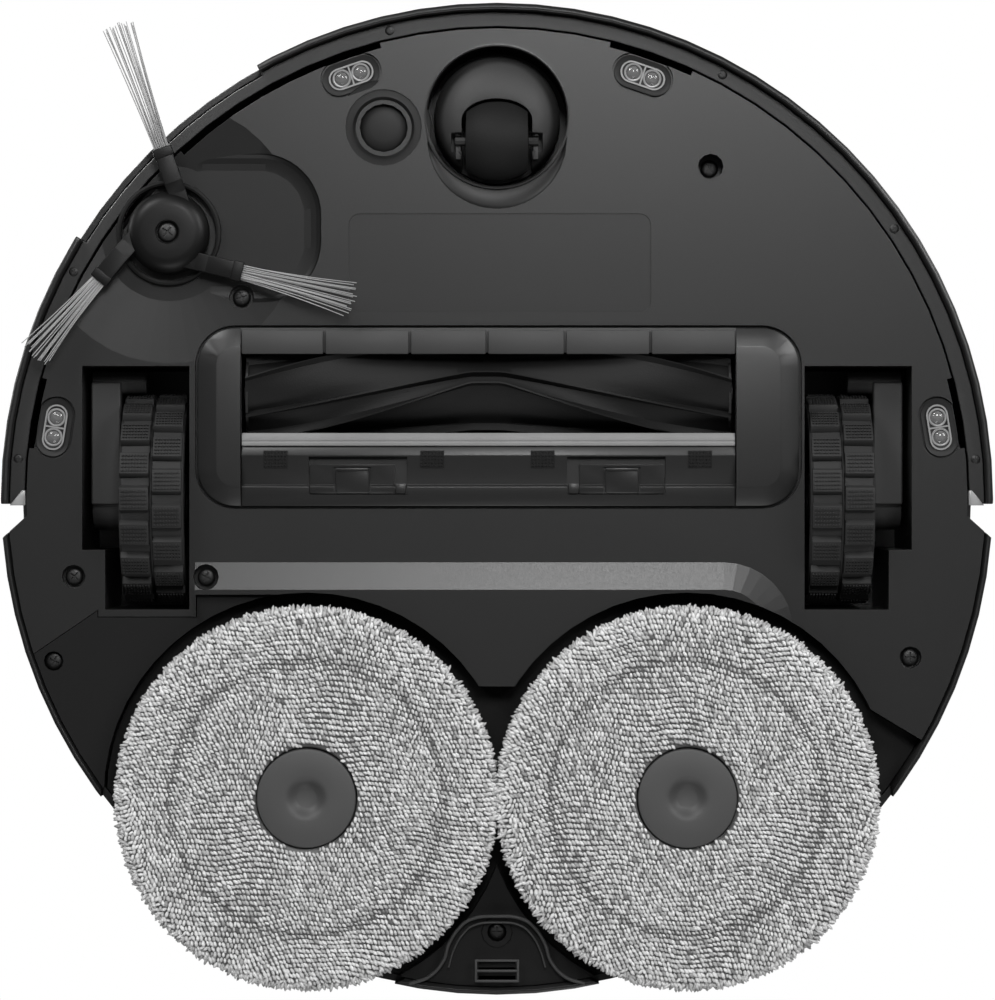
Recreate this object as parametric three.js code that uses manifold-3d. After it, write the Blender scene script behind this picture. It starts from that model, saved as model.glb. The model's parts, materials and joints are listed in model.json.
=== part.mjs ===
// Robot vacuum with a rubber roller, a side brush and two spinning mop pads.
// It stands on its wheels: millimetres, +Z up, the front faces -Y, and the origin is on
// the floor under the middle of the body. Right and left are the robot's own: right is -X.

import * as THREE from 'three';
import { mergeVertices } from 'three/addons/utils/BufferGeometryUtils.js';
import Module from 'manifold-3d';

const wasm = await Module();
wasm.setup();

// ---- body ----
const bodyRadius = 175;
const underside = 11; // height of the chassis plate's lower face
const plateThickness = 2.6;
const deckTop = 84;
const deckThickness = 4;
const wallThickness = 2.4;
const fixedGap = 0.3; // between pieces that are fastened together
const runningGap = 0.6; // between pieces that move past each other
const plateTop = underside + plateThickness;
const deckUnderside = deckTop - deckThickness;
const shellInnerRadius = bodyRadius - wallThickness;
const platformDrop = 2.5; // the plate is this much lower behind the roller
const platformFront = 22;
const platformSlope = 10;
const platformHeight = underside - platformDrop;
const platformRear = 90;
const platformEnd = { x: 80, radius: 25 }; // the slope turns rearwards on the robot's left

// ---- bumper ----
const bumperTravel = 3.5;
const bumperEnd = 1.8;
const bumperBottom = 9.5;
const bumperTop = deckUnderside - 2;
const flangeWidth = 5.3;
const flangeThickness = 2.2;
const notchStart = 6.3;
const notchSlope = 0.9; // the notch behind each bumper end widens outwards
const frontLipRadius = shellInnerRadius - 6.6;
const flangeBottom = plateTop + runningGap;
const ringRadius = shellInnerRadius - fixedGap;
// outer face of the wall that stands on the chassis plate, clear of the pressed bumper
const innerWallRadius = ringRadius - flangeWidth - bumperTravel - 3.5;
const scallopDepth = 4;
const windowHalfAngle = 24;
const windowBottom = 42;
const windowTop = 60;

// ---- roller and its cover ----
const rollerRadius = 18;
const rollerHeight = rollerRadius + 3.5;
const rollerY = -37.3;
const rollerStart = -88.5;
const rollerEnd = 82.5;
const coreRadius = 11;
const bladeCount = 6;
const bladeSweep = 80; // turn of each blade from its end to the middle, in degrees
const coverBottom = 8;
const coverThickness = 3;
const coverLipThickness = 1.5;
// the roller reaches through the mouth, clear of the lip's upper edge
const mouthHalf = Math.sqrt(rollerRadius ** 2
  - (rollerHeight - coverBottom - coverLipThickness) ** 2) + 1.1;
const housing = { left: -106.4, right: 107.5, front: -61.2, rear: 3.5, corner: 14 };
const mouth = { left: -90.2, right: 84.2, front: rollerY - mouthHalf, rear: rollerY + mouthHalf };
const chamberTop = rollerHeight + rollerRadius + 2.5;
const squeegeeThickness = 4.2;
const squeegeeY = mouth.rear + 2.3;
const squeegeeBottom = 5;
const latchTravel = 2.5;
const latchLength = 34;
const latchDepth = 10.5;
const latchY = -7;
const latchPlaces = [-50.9, 44];

// ---- drive wheels ----
const wheelRadius = 37.5;
const wheelWidth = 22.6;
const wheelX = 121.6;
const tyreThickness = 5;
const lugHeight = 2;
const lugCount = 18;
const armPivotRadius = 4;
const armPivotY = -wheelRadius - armPivotRadius;
const armPivotHeight = wheelRadius - 7.5;
const pocket = {
  inner: wheelX - wheelWidth / 2 - 1.8,
  outer: wheelX + wheelWidth / 2 + 13.4,
  stepOuter: wheelX + wheelWidth / 2 + 5.3,
  front: armPivotY - armPivotRadius - 1.4,
  step: 18,
  rear: wheelRadius + 1.6,
};
const armThickness = 10.4;
const axleRadius = 4;

// ---- caster ----
const casterTrail = 8.6;
const casterWheelRadius = 14;
const casterWheelWidth = 22.6;
const casterShoulder = 2.4;
const casterDomeTop = 2 * casterWheelRadius + 8;
// the well clears the wheel's far corner as the fork swivels
const casterWell = {
  y: -135,
  radius: Math.hypot(casterTrail + casterWheelRadius, casterWheelWidth / 2 - casterShoulder) + 1,
  top: casterDomeTop + 10,
};
const casterDip = { radius: 24.7, depth: 1.4, rearward: 8 }; // a shallow dip beside the well
const casterDomeRadius = casterWell.radius - 1.9;
const casterPinRadius = 1.6;
const casterStemRadius = 5;

// ---- side brush ----
const sideBrush = { x: -115.8, y: -93.8 };
const sideHubRadius = 14.5;
const sidePotRadius = 16.6;
const sidePotTop = 17;
const sideArmOffset = 7.6; // the arms pass beside the spindle, not through it
const sideArmEnd = 30;
const sideArmWidth = 6.5;
const sideArmBottom = 5.6;
const sideArmThickness = 3;
const sideBrushAngles = [251, 130.2, 13.5];
const tuftLengths = [75.1, 64.4, 70.3]; // a little uneven, as bristles set when used
const tuftRootWidth = 4.6;
const tuftTipWidth = 11.6;
const tuftThickness = 1.1;
const tuftDroop = 5.4;
const bowl = {
  depth: 2.3,
  coneRadius: 46,
  flatRadius: 24,
  left: sideBrush.x - 8,
  right: -62,
  front: -122,
  rear: -69,
  edge: 6,
  corner: 16,
};
const bowlBacking = { radius: 42, x: 18, y: -2 }; // thickens the plate above the hollow

// ---- mops ----
const padRadius = 66.4;
const mopX = padRadius + 0.4;
const padBottom = 0.4;
const padThickness = 5.9;
const mopPlateRadius = padRadius - 6.4;
const mopPlateThickness = 2.4;
const mopHubRadius = 17.4;
const mopShaftRadius = 6;
const mopLift = 9;
const bayRadius = padRadius + 5.6;
const bayFront = 33;
const mopY = bayFront + bayRadius;
const bayCoverBottom = padBottom + padThickness + fixedGap + mopPlateThickness + mopLift + 2.4;
const bayCoverThickness = 2.6;
const tongueFront = 66;

// ---- sensors, screws and top ----
const cliffRadius = frontLipRadius - 8;
const cliffAngles = [-80.8, -19, 19, 80.8];
const cliffLens = { length: 16.7, width: 8 };
const carpetSensor = { x: -40, y: -131, radius: 13.2, bore: 8.5 };
const turret = { y: 62, radius: 48, top: deckTop + 14, capThickness: 4, slotHeight: 6, wall: 13 };
const lid = { front: -146, rear: -12, halfWidth: 112, corner: 26, thickness: 1.8 };
const buttonRadius = 7.5;
const buttonX = 15;
const contactX = 24;
const label = { left: -52.3, right: 54.3, front: -100.6, rear: -66 }; // a shallow blank recess
// places where the plate's lip steps in beside the bumper, as angles from the front
const lipGaps = [[14, 24.6], [-42.3, -14.4], [75.1, 83.8], [-83.8, -75.1]];
const lipGapDepth = 1.8;
const battery = { front: 9, rear: 76, bottom: 26, top: 56, postX: 40 };

// ---- shapes ----

const roundSteps = (radius) => 4 * Math.max(2, Math.round(Math.sqrt(radius) * 1.5));

function toSolid(geometry) {
  const bare = geometry.index ? geometry.toNonIndexed() : geometry;
  bare.deleteAttribute('normal');
  bare.deleteAttribute('uv');
  const merged = mergeVertices(bare, 1e-3);
  const corners = merged.index.array;
  const triangles = [];
  for (let i = 0; i < corners.length; i += 3) {
    const [a, b, c] = [corners[i], corners[i + 1], corners[i + 2]];
    if (a !== b && b !== c && c !== a) triangles.push(a, b, c);
  }
  const vertProperties = new Float32Array(merged.attributes.position.array);
  return new wasm.Manifold(
    new wasm.Mesh({ numProp: 3, vertProperties, triVerts: new Uint32Array(triangles) }),
  );
}

function toGeometry(solid) {
  const mesh = solid.getMesh();
  const geometry = new THREE.BufferGeometry();
  geometry.setAttribute('position', new THREE.BufferAttribute(mesh.vertProperties, 3));
  geometry.setIndex(new THREE.BufferAttribute(mesh.triVerts, 1));
  return geometry;
}

const join = (...solids) => solids.reduce((whole, piece) => whole.add(piece));
const cut = (solid, ...tools) => tools.reduce((rest, tool) => rest.subtract(tool), solid);

function box(x0, x1, y0, y1, z0, z1) {
  const geometry = new THREE.BoxGeometry(x1 - x0, y1 - y0, z1 - z0);
  geometry.translate((x0 + x1) / 2, (y0 + y1) / 2, (z0 + z1) / 2);
  return toSolid(geometry);
}

// An upright cylinder, or a cone frustum where the upper radius differs.
function disc(radius, z0, z1, x = 0, y = 0, upperRadius = radius) {
  const steps = roundSteps(Math.max(radius, upperRadius));
  const geometry = new THREE.CylinderGeometry(upperRadius, radius, z1 - z0, steps);
  geometry.rotateX(Math.PI / 2);
  geometry.translate(x, y, (z0 + z1) / 2);
  return toSolid(geometry);
}

const ring = (inner, outer, z0, z1, x = 0, y = 0) =>
  cut(disc(outer, z0, z1, x, y), disc(inner, z0 - 1, z1 + 1, x, y));

// A cylinder lying along X.
function rod(radius, x0, x1, y, z) {
  const geometry = new THREE.CylinderGeometry(radius, radius, x1 - x0, roundSteps(radius));
  geometry.rotateZ(Math.PI / 2);
  geometry.translate((x0 + x1) / 2, y, z);
  return toSolid(geometry);
}

function prism(shape, z0, z1) {
  const geometry = new THREE.ExtrudeGeometry(shape, {
    depth: z1 - z0,
    bevelEnabled: false,
    curveSegments: 5,
  });
  geometry.translate(0, 0, z0);
  return toSolid(geometry);
}

const polygon = (points) => new THREE.Shape(points.map(([x, y]) => new THREE.Vector2(x, y)));

function roundedRectangle(x0, x1, y0, y1, radius) {
  const shape = new THREE.Shape();
  shape.absarc(x1 - radius, y1 - radius, radius, 0, Math.PI / 2);
  shape.absarc(x0 + radius, y1 - radius, radius, Math.PI / 2, Math.PI);
  shape.absarc(x0 + radius, y0 + radius, radius, Math.PI, Math.PI * 1.5);
  shape.absarc(x1 - radius, y0 + radius, radius, Math.PI * 1.5, Math.PI * 2);
  return shape;
}

// A solid of revolution about a vertical axis; the profile holds [radius, height] pairs.
function turned(profile, x = 0, y = 0, steps = 0) {
  const widest = Math.max(...profile.map(([radius]) => radius));
  const points = profile.map(([radius, height]) => new THREE.Vector2(radius, height));
  const geometry = new THREE.LatheGeometry(points, steps || roundSteps(widest));
  geometry.rotateX(Math.PI / 2);
  geometry.translate(x, y, 0);
  return toSolid(geometry);
}

// Angles around the body are measured from the front (-Y) towards the robot's left (+X).
const degrees = (angle) => (angle * Math.PI) / 180;
const aroundBody = (radius, angle) => [
  radius * Math.sin(degrees(angle)),
  -radius * Math.cos(degrees(angle)),
];

// A block between two radii and two angles around the body.
function arcBlock(inner, outer, start, end, z0, z1) {
  const steps = Math.max(2, Math.ceil((end - start) / 4));
  const points = [];
  for (let i = 0; i <= steps; i += 1) {
    points.push(aroundBody(outer, start + ((end - start) * i) / steps));
  }
  for (let i = steps; i >= 0; i -= 1) {
    points.push(aroundBody(inner, start + ((end - start) * i) / steps));
  }
  return prism(polygon(points), z0, z1);
}

const far = 2 * bodyRadius; // reaches past everything

// The plan behind the bumper: everything behind the notches at the two sides.
function rearPlan(z0, z1) {
  const x = frontLipRadius + 0.2;
  const rise = notchStart + notchSlope * (far - x);
  return prism(polygon([[x, notchStart], [far, rise], [far, far], [-far, far], [-far, rise],
    [-x, notchStart]]), z0, z1);
}

// ---- mop bay plan ----

const mopSides = [-1, 1];
const padWells = (radius, z0, z1) =>
  join(...mopSides.map((side) => disc(radius, z0, z1, side * mopX, mopY)));

// Right side: the area of the dark side plate, and left side: the area behind a slanted line.
const sidePlatePlan = (z0, z1, grow = 0) => prism(polygon([[-far, far], [-far, 66.2 - grow],
  [-163.9, 55.2 - grow], [-137.8, 37.4 - grow], [-108, 34 - grow], [-mopX + grow, 34 - grow],
  [-mopX + grow, far]]), z0, z1);
const slantedEdge = { x: 127.9, y: 71.9, slope: 0.6 };
const leftCornerPlan = (z0, z1, grow = 0) => prism(polygon([[mopX, 71.9 - grow],
  [slantedEdge.x, slantedEdge.y - grow],
  [far, slantedEdge.y - grow + slantedEdge.slope * (far - slantedEdge.x)],
  [far, far], [mopX, far]]), z0, z1);
const rearCentrePlan = (z0, z1, front) => box(-mopX, mopX, front, far, z0, z1);

function bayPlan(radius, z0, z1, grow = 0) {
  return join(padWells(radius, z0, z1), rearCentrePlan(z0, z1, mopY),
    box(-18, 18, tongueFront - grow, mopY + 1, z0, z1), leftCornerPlan(z0, z1, grow));
}

// ---- screws ----

const screws = [
  { x: 75.4, y: -117.2, hole: 4.5, depth: 12 },
  { x: -90.2, y: -71.2, hole: 4.4, depth: 5 },
  { x: -149.3, y: 27.4, hole: 4.2, depth: 4 },
  { x: -102.6, y: 27.6, hole: 4.6, depth: 4 },
  { x: 145.9, y: 55.9, hole: 3.9, depth: 4 },
  { x: -156.4, y: 57.2, hole: 3.5, depth: 4, on: 'side_plate' },
  { x: 0, y: bodyRadius - 22, hole: 3.4, depth: 4, on: 'mop_bay_cover' },
];
const screwHeadRadius = 3.1;
const screwHeadHeight = 2;
const screwShankRadius = 1.5;
const screwLength = 9;
const screwBossWall = 2;
const tongueBottom = 13;
const screwFloor = (screw) =>
  (screw.on === 'mop_bay_cover' ? tongueBottom : underside) + screw.depth;

function withScrewHoles(solid, owner) {
  let result = solid;
  for (const screw of screws.filter((each) => each.on === owner)) {
    const floor = screwFloor(screw);
    result = result.add(disc(screw.hole + screwBossWall, plateTop - 1, floor + screwBossWall,
      screw.x, screw.y));
    result = cut(result, disc(screw.hole, 0, floor, screw.x, screw.y),
      disc(screwShankRadius + fixedGap, 0, floor + screwLength + 1, screw.x, screw.y));
  }
  return result;
}

function screwSolid(screw) {
  const base = screwFloor(screw) - fixedGap;
  const head = disc(screwHeadRadius, base - screwHeadHeight, base, screw.x, screw.y);
  const shank = disc(screwShankRadius, base, base + screwLength, screw.x, screw.y);
  const slot = 0.9;
  const reach = 2.1;
  const slotDepth = base - screwHeadHeight + 1;
  return cut(join(head, shank),
    box(screw.x - reach, screw.x + reach, screw.y - slot / 2, screw.y + slot / 2, 0, slotDepth),
    box(screw.x - slot / 2, screw.x + slot / 2, screw.y - reach, screw.y + reach, 0, slotDepth));
}

// ---- chassis ----

// The hollow that the side brush sweeps through: a cone round its pot and a soft tray beside it.
function brushBowl() {
  const { depth, coneRadius, flatRadius, edge, corner } = bowl;
  const cone = turned([[0, 0], [coneRadius, 0], [coneRadius, underside],
    [flatRadius, underside + depth], [0, underside + depth]], sideBrush.x, sideBrush.y);
  const tray = new THREE.ExtrudeGeometry(roundedRectangle(bowl.left + edge, bowl.right - edge,
    bowl.front + edge, bowl.rear - edge, corner), {
    depth: underside,
    bevelEnabled: true,
    bevelSize: edge,
    bevelThickness: depth,
    bevelSegments: 4,
    curveSegments: 6,
  });
  return cone.add(toSolid(tray));
}

function wheelPocket(side, grow, z0, z1) {
  const wide = [side * (pocket.inner - grow), side * (pocket.outer + grow)].sort((a, b) => a - b);
  const narrow = [side * (pocket.inner - grow), side * (pocket.stepOuter + grow)]
    .sort((a, b) => a - b);
  return join(
    box(...wide, pocket.front - grow, pocket.step + grow, z0, z1),
    box(...narrow, pocket.front - grow, pocket.rear + grow, z0, z1));
}

const housingPlan = (shrink, z0, z1) => prism(roundedRectangle(housing.left + shrink,
  housing.right - shrink, housing.front + shrink, housing.rear - shrink,
  housing.corner - shrink), z0, z1);
const chamber = (grow, z0, z1) => box(mouth.left - grow, mouth.right + grow,
  rollerY - rollerRadius - 1.5 - grow, rollerY + rollerRadius + 1.5 + grow, z0, z1);

// The lowered platform behind the roller, with a slope along its front and its left end.
function platform() {
  const { x: cornerX, radius: cornerRadius } = platformEnd;
  const top = underside + 0.1;
  const slopeProfile = polygon([[platformFront, top],
    [platformFront + platformSlope, platformHeight], [platformRear, platformHeight],
    [platformRear, top]]);
  const frontPart = new THREE.ExtrudeGeometry(slopeProfile, {
    depth: cornerX + pocket.inner - 2,
    bevelEnabled: false,
  });
  frontPart.rotateX(Math.PI / 2);
  frontPart.rotateZ(Math.PI / 2);
  frontPart.translate(-pocket.inner + 2, 0, 0);
  const endPart = new THREE.ExtrudeGeometry(polygon([[0, top], [0, platformHeight],
    [cornerRadius - platformSlope, platformHeight], [cornerRadius, top]]), {
    depth: platformRear - platformFront - cornerRadius,
    bevelEnabled: false,
  });
  endPart.rotateX(Math.PI / 2);
  endPart.translate(cornerX, platformRear, 0);
  const corner = disc(cornerRadius - platformSlope, platformHeight, top, cornerX,
    platformFront + cornerRadius, cornerRadius);
  return join(toSolid(frontPart), toSolid(endPart), corner);
}

function chassisBase() {
  const rearRadius = shellInnerRadius - fixedGap;
  let solid = join(
    disc(frontLipRadius, underside, plateTop),
    disc(rearRadius, underside, plateTop).intersect(rearPlan(underside - 1, plateTop + 1)),
    ring(innerWallRadius - wallThickness, innerWallRadius, plateTop - 1, deckUnderside - fixedGap),
    platform(),
    housingPlan(-wallThickness, plateTop - 1, plateTop + 3),
    chamber(wallThickness, plateTop, chamberTop + wallThickness),
    disc(casterWell.radius + wallThickness, plateTop - 1, casterWell.top, 0, casterWell.y),
    disc(sidePotRadius + 2, plateTop - 1, sidePotTop + 2, sideBrush.x, sideBrush.y)
      .intersect(disc(innerWallRadius + 3, 0, far)),
    disc(bowlBacking.radius, plateTop - 1, plateTop + 2, sideBrush.x + bowlBacking.x,
      sideBrush.y + bowlBacking.y).intersect(disc(innerWallRadius, 0, far)),
    disc(carpetSensor.radius + 2, plateTop - 1, plateTop + 5, carpetSensor.x, carpetSensor.y),
    ...mopSides.map((side) => wheelPocket(side, wallThickness, plateTop - 1, deckUnderside - 1)),
    ...mopSides.map((side) => box(side * battery.postX - 3, side * battery.postX + 3,
      battery.front + 1, battery.front + 19, plateTop - 1, battery.bottom - 0.4)),
  );
  // walls around the mop bay
  const bayWall = cut(bayPlan(bayRadius + wallThickness, underside, bayCoverBottom + 1,
    wallThickness), sidePlatePlan(0, far)).intersect(disc(innerWallRadius, 0, far));
  solid = withScrewHoles(solid.add(bayWall), undefined);
  solid = cut(solid,
    bayPlan(bayRadius, 0, bayCoverBottom + bayCoverThickness + fixedGap),
    cut(sidePlatePlan(0, bayCoverBottom + bayCoverThickness + fixedGap, fixedGap),
      wheelPocket(-1, wallThickness, 0, far)),
    housingPlan(0, 0, plateTop),
    chamber(0, 0, chamberTop),
    disc(casterWell.radius, 0, casterWell.top - wallThickness, 0, casterWell.y),
    disc(casterDip.radius, 0, underside + casterDip.depth, 0, casterWell.y + casterDip.rearward),
    disc(casterStemRadius + runningGap, 0, far, 0, casterWell.y),
    disc(sidePotRadius, 0, sidePotTop, sideBrush.x, sideBrush.y),
    disc(3 + runningGap, 0, far, sideBrush.x, sideBrush.y),
    brushBowl(),
    disc(carpetSensor.radius + fixedGap, 0, plateTop - 0.6, carpetSensor.x, carpetSensor.y),
    disc(carpetSensor.bore, 0, plateTop + 3.4, carpetSensor.x, carpetSensor.y),
    prism(roundedRectangle(label.left, label.right, label.front, label.rear, 4), 0,
      underside + 0.4),
    ...mopSides.map((side) => wheelPocket(side, 0, 0, deckUnderside - 1 - wallThickness)),
    box(-30, 30, mouth.rear - 2, housing.rear, chamberTop - 16, chamberTop - 4),
    box(-30, 30, mouth.rear + 2, housing.rear, chamberTop - 4, far),
    ...cliffAngles.map((angle) => cliffPlan(angle, 2.6, 0, underside + 1.7)),
    ...lipGaps.map(([start, end]) => arcBlock(frontLipRadius - lipGapDepth, far, start, end, 0,
      plateTop)));
  return solid;
}

// A pill-shaped plan for a cliff sensor, lying along the body's edge.
function cliffPlan(angle, grow, z0, z1) {
  const half = cliffLens.length / 2 + grow;
  const radius = cliffLens.width / 2 + grow;
  const shape = roundedRectangle(-half, half, -radius, radius, radius - 0.01);
  const geometry = new THREE.ExtrudeGeometry(shape, {
    depth: z1 - z0,
    bevelEnabled: false,
    curveSegments: 4,
  });
  const [x, y] = aroundBody(cliffRadius, angle);
  geometry.rotateZ(degrees(angle));
  geometry.translate(x, y, z0);
  return toSolid(geometry);
}

function mopBayCover() {
  const top = bayCoverBottom + bayCoverThickness;
  const radius = shellInnerRadius - fixedGap;
  const ceiling = join(bayPlan(bayRadius - fixedGap, bayCoverBottom, top, -fixedGap),
    box(-mopX - bayRadius, -mopX, mopY, far, bayCoverBottom, top))
    .intersect(disc(radius, 0, far));
  const tongue = cut(disc(radius, tongueBottom, top)
    .intersect(box(-34, 34, mopY, far, 0, far)), padWells(bayRadius - 1, 0, far));
  const holes = mopSides.map((side) => disc(mopShaftRadius + 2, 0, far, side * mopX, mopY));
  const grille = [0, 1, 2].map((row) => {
    const y = bodyRadius - 11.6 + row * 2.9;
    return box(-6.5, 6.5, y - 0.8, y + 0.8, 0, top - 1);
  });
  const solid = cut(ceiling.add(tongue), ...holes, ...grille);
  return withScrewHoles(cut(solid, sidePlateArea(0, far, fixedGap)), 'mop_bay_cover');
}

function sidePlateArea(z0, z1, grow) {
  return cut(sidePlatePlan(z0, z1, grow).intersect(
    disc(shellInnerRadius - fixedGap + grow, z0, z1)),
  disc(bayRadius - grow, 0, far, -mopX, mopY), box(-mopX - 30, far, mopY, far, 0, far),
  wheelPocket(-1, wallThickness + fixedGap - grow, 0, far));
}

function sidePlate() {
  const plate = sidePlateArea(underside, plateTop, 0);
  const arcWall = sidePlateArea(plateTop - 1, bayCoverBottom + 1, 0)
    .intersect(disc(bayRadius + wallThickness, 0, far, -mopX, mopY))
    .intersect(disc(shellInnerRadius - 4, 0, far));
  return withScrewHoles(plate.add(arcWall), 'side_plate');
}

function sideShell() {
  const solid = turned([[shellInnerRadius, underside + 1.5], [shellInnerRadius + 1, underside],
    [bodyRadius - 0.8, underside], [bodyRadius, underside + 0.8],
    [bodyRadius, deckUnderside - fixedGap], [shellInnerRadius, deckUnderside - fixedGap],
    [shellInnerRadius, underside + 1.5]]);
  const contacts = [-1, 1].map((side) => box(side * contactX - 6 - fixedGap,
    side * contactX + 6 + fixedGap, bodyRadius - 15, far, 36 - fixedGap, 44 + fixedGap));
  return cut(solid.intersect(rearPlan(0, far)),
    padWells(bayRadius + 1, 0, bayCoverBottom), ...contacts);
}

function chargeContact(side) {
  const y = Math.sqrt(bodyRadius ** 2 - (contactX + 6) ** 2);
  return box(side * contactX - 6, side * contactX + 6, y - 3, y, 36, 44);
}

// ---- deck, lid, buttons and turret ----

const lidPlan = (grow, z0, z1) => prism(roundedRectangle(-lid.halfWidth - grow,
  lid.halfWidth + grow, lid.front - grow, lid.rear + grow, lid.corner), z0, z1)
  .intersect(disc(bodyRadius - 17 + grow, z0, z1));

function topDeck() {
  const plate = turned([[0, deckUnderside], [bodyRadius - 1, deckUnderside],
    [bodyRadius, deckUnderside + 1], [bodyRadius, deckTop - 1.6], [bodyRadius - 1.6, deckTop],
    [0, deckTop]]);
  const lidFloor = deckTop - lid.thickness - runningGap;
  return cut(plate, lidPlan(runningGap, lidFloor, far), box(-72, 72, -100, -24, 0, far),
    disc(10, 0, far, 0, turret.y),
    ...[-1, 1].map((side) => disc(buttonRadius + runningGap, deckUnderside + 0.8, far,
      side * buttonX, 0)));
}

const topLid = () => cut(lidPlan(0, deckTop - lid.thickness, deckTop),
  disc(11, deckTop - 1, far, 0, lid.front + 4));

const button = (side) => turned([[0, deckTop - 2.2], [buttonRadius, deckTop - 2.2],
  [buttonRadius, deckTop], [buttonRadius - 1, deckTop + 0.5], [0, deckTop + 0.5]],
side * buttonX, 0);

function lidarTurret() {
  const base = deckTop + fixedGap;
  const capBottom = turret.top - turret.capThickness;
  const slotBottom = capBottom - turret.slotHeight;
  const shell = turned([[0, base], [turret.radius + 2, base], [turret.radius, base + 2],
    [turret.radius, turret.top - 1.6], [turret.radius - 1.6, turret.top], [0, turret.top]],
  0, turret.y);
  const slot = cut(ring(turret.radius - turret.wall, turret.radius + 5, slotBottom, capBottom,
    0, turret.y), box(-3, 3, 0, far, 0, far), box(-far, far, turret.y - 3, turret.y + 3, 0, far));
  return cut(shell, slot, disc(turret.radius - turret.wall, base - 1, capBottom, 0, turret.y));
}

const lidarRotor = () => cut(join(disc(turret.radius - turret.wall - 2, deckTop + runningGap + 0.4,
  turret.top - turret.capThickness - runningGap, 0, turret.y),
disc(8, deckUnderside + 1, deckTop + 3, 0, turret.y)),
box(-9, 9, turret.y - turret.radius, turret.y - 26, deckTop + 4, turret.top - 5.4));

// ---- bumper ----

const bumperCut = () => box(-far, far, bumperEnd, far, -1, far);
// The side brush swings past here, so the bumper's lower edge steps inwards.
const scallop = (z1) => arcBlock(bodyRadius - scallopDepth, far, -58, -29, 0, z1);

function bumper() {
  const skin = turned([[shellInnerRadius + 0.5, bumperBottom], [bodyRadius - 0.9, bumperBottom],
    [bodyRadius, bumperBottom + 0.9], [bodyRadius, bumperTop - 1.5],
    [bodyRadius - 1.5, bumperTop], [shellInnerRadius, bumperTop],
    [shellInnerRadius, bumperBottom + 0.5], [shellInnerRadius + 0.5, bumperBottom]]);
  return cut(skin, bumperCut(), scallop(26),
    arcBlock(bodyRadius - 15, far, -windowHalfAngle, windowHalfAngle, windowBottom, windowTop));
}

function bumperRing() {
  const flange = ring(ringRadius - flangeWidth, ringRadius, flangeBottom,
    flangeBottom + flangeThickness);
  const upright = ring(ringRadius - wallThickness, ringRadius, flangeBottom, bumperTop - 10);
  return cut(flange.add(upright), bumperCut(), scallop(26));
}

const frontWindow = () => arcBlock(shellInnerRadius + 0.2, bodyRadius - 0.5,
  -windowHalfAngle + 0.2, windowHalfAngle - 0.2, windowBottom + fixedGap, windowTop - fixedGap);

// ---- roller ----

// The blades rise off the sleeve in a herringbone: each half twists the opposite way.
function rollerBlades() {
  const length = rollerEnd - rollerStart - 2;
  const points = [];
  for (let blade = 0; blade < bladeCount; blade += 1) {
    const start = (blade * 360) / bladeCount;
    for (const [turn, radius] of [[0, coreRadius + 2.2], [24, coreRadius + 2.2],
      [34, rollerRadius], [44, coreRadius + 2.2]]) {
      const angle = degrees(start + turn);
      points.push([radius * Math.cos(angle), radius * Math.sin(angle)]);
    }
  }
  const shape = polygon(points);
  const bore = new THREE.Path();
  bore.absarc(0, 0, coreRadius + 0.9, 0, Math.PI * 2, true);
  shape.holes.push(bore);
  const geometry = new THREE.ExtrudeGeometry(shape, {
    depth: length,
    steps: 10,
    bevelEnabled: false,
    curveSegments: 8,
  });
  const place = geometry.attributes.position;
  for (let i = 0; i < place.count; i += 1) {
    const along = Math.abs((2 * place.getZ(i)) / length - 1);
    const twist = degrees(bladeSweep) * along;
    const radius = Math.hypot(place.getX(i), place.getY(i));
    const angle = Math.atan2(place.getY(i), place.getX(i)) + twist;
    place.setXY(i, radius * Math.cos(angle), radius * Math.sin(angle));
  }
  geometry.rotateY(Math.PI / 2);
  geometry.translate(rollerStart + 1, rollerY, rollerHeight);
  return toSolid(geometry);
}

const rollerCore = () => join(rod(coreRadius, rollerStart + 0.5, rollerEnd - 0.5, rollerY,
  rollerHeight), rod(4, rollerStart - 1, rollerEnd + 1, rollerY, rollerHeight),
rod(coreRadius + 3, rollerStart, rollerStart + 0.8, rollerY, rollerHeight),
rod(coreRadius + 3, rollerEnd - 0.8, rollerEnd, rollerY, rollerHeight));

function brushCover() {
  const clearance = 0.7;
  const top = coverBottom + coverThickness;
  const latchPockets = latchPlaces.map((x) => box(x - latchLength / 2 - fixedGap,
    x + latchLength / 2 + fixedGap, latchY - latchDepth / 2 - latchTravel - fixedGap,
    latchY + latchDepth / 2 + fixedGap, 0, coverBottom + 2.2));
  return cut(housingPlan(clearance, coverBottom, top),
    box(mouth.left, mouth.right, mouth.front, mouth.rear, 0, far),
    chamber(-fixedGap, coverBottom + coverLipThickness, far),
    box(mouth.left + 1, mouth.right - 1, squeegeeY - squeegeeThickness / 2 - fixedGap,
      squeegeeY + squeegeeThickness / 2 + fixedGap, 0, far),
    ...latchPockets);
}

const squeegee = () => box(mouth.left + 1.3, mouth.right - 1.3,
  squeegeeY - squeegeeThickness / 2, squeegeeY + squeegeeThickness / 2, squeegeeBottom,
  coverBottom + coverLipThickness);

function coverLatch(x) {
  const z1 = coverBottom + 1.9;
  return cut(box(x - latchLength / 2, x + latchLength / 2, latchY - latchDepth / 2,
    latchY + latchDepth / 2, coverBottom - 0.4, z1),
  box(x - 6.5, x + 6.5, latchY - 2.5, latchY + 2.5, 0, coverBottom + 0.6));
}

// ---- drive modules ----

const sided = (side, a, b) => [side * a, side * b].sort((p, q) => p - q);
const wheelOuterFace = wheelX + wheelWidth / 2;

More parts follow.
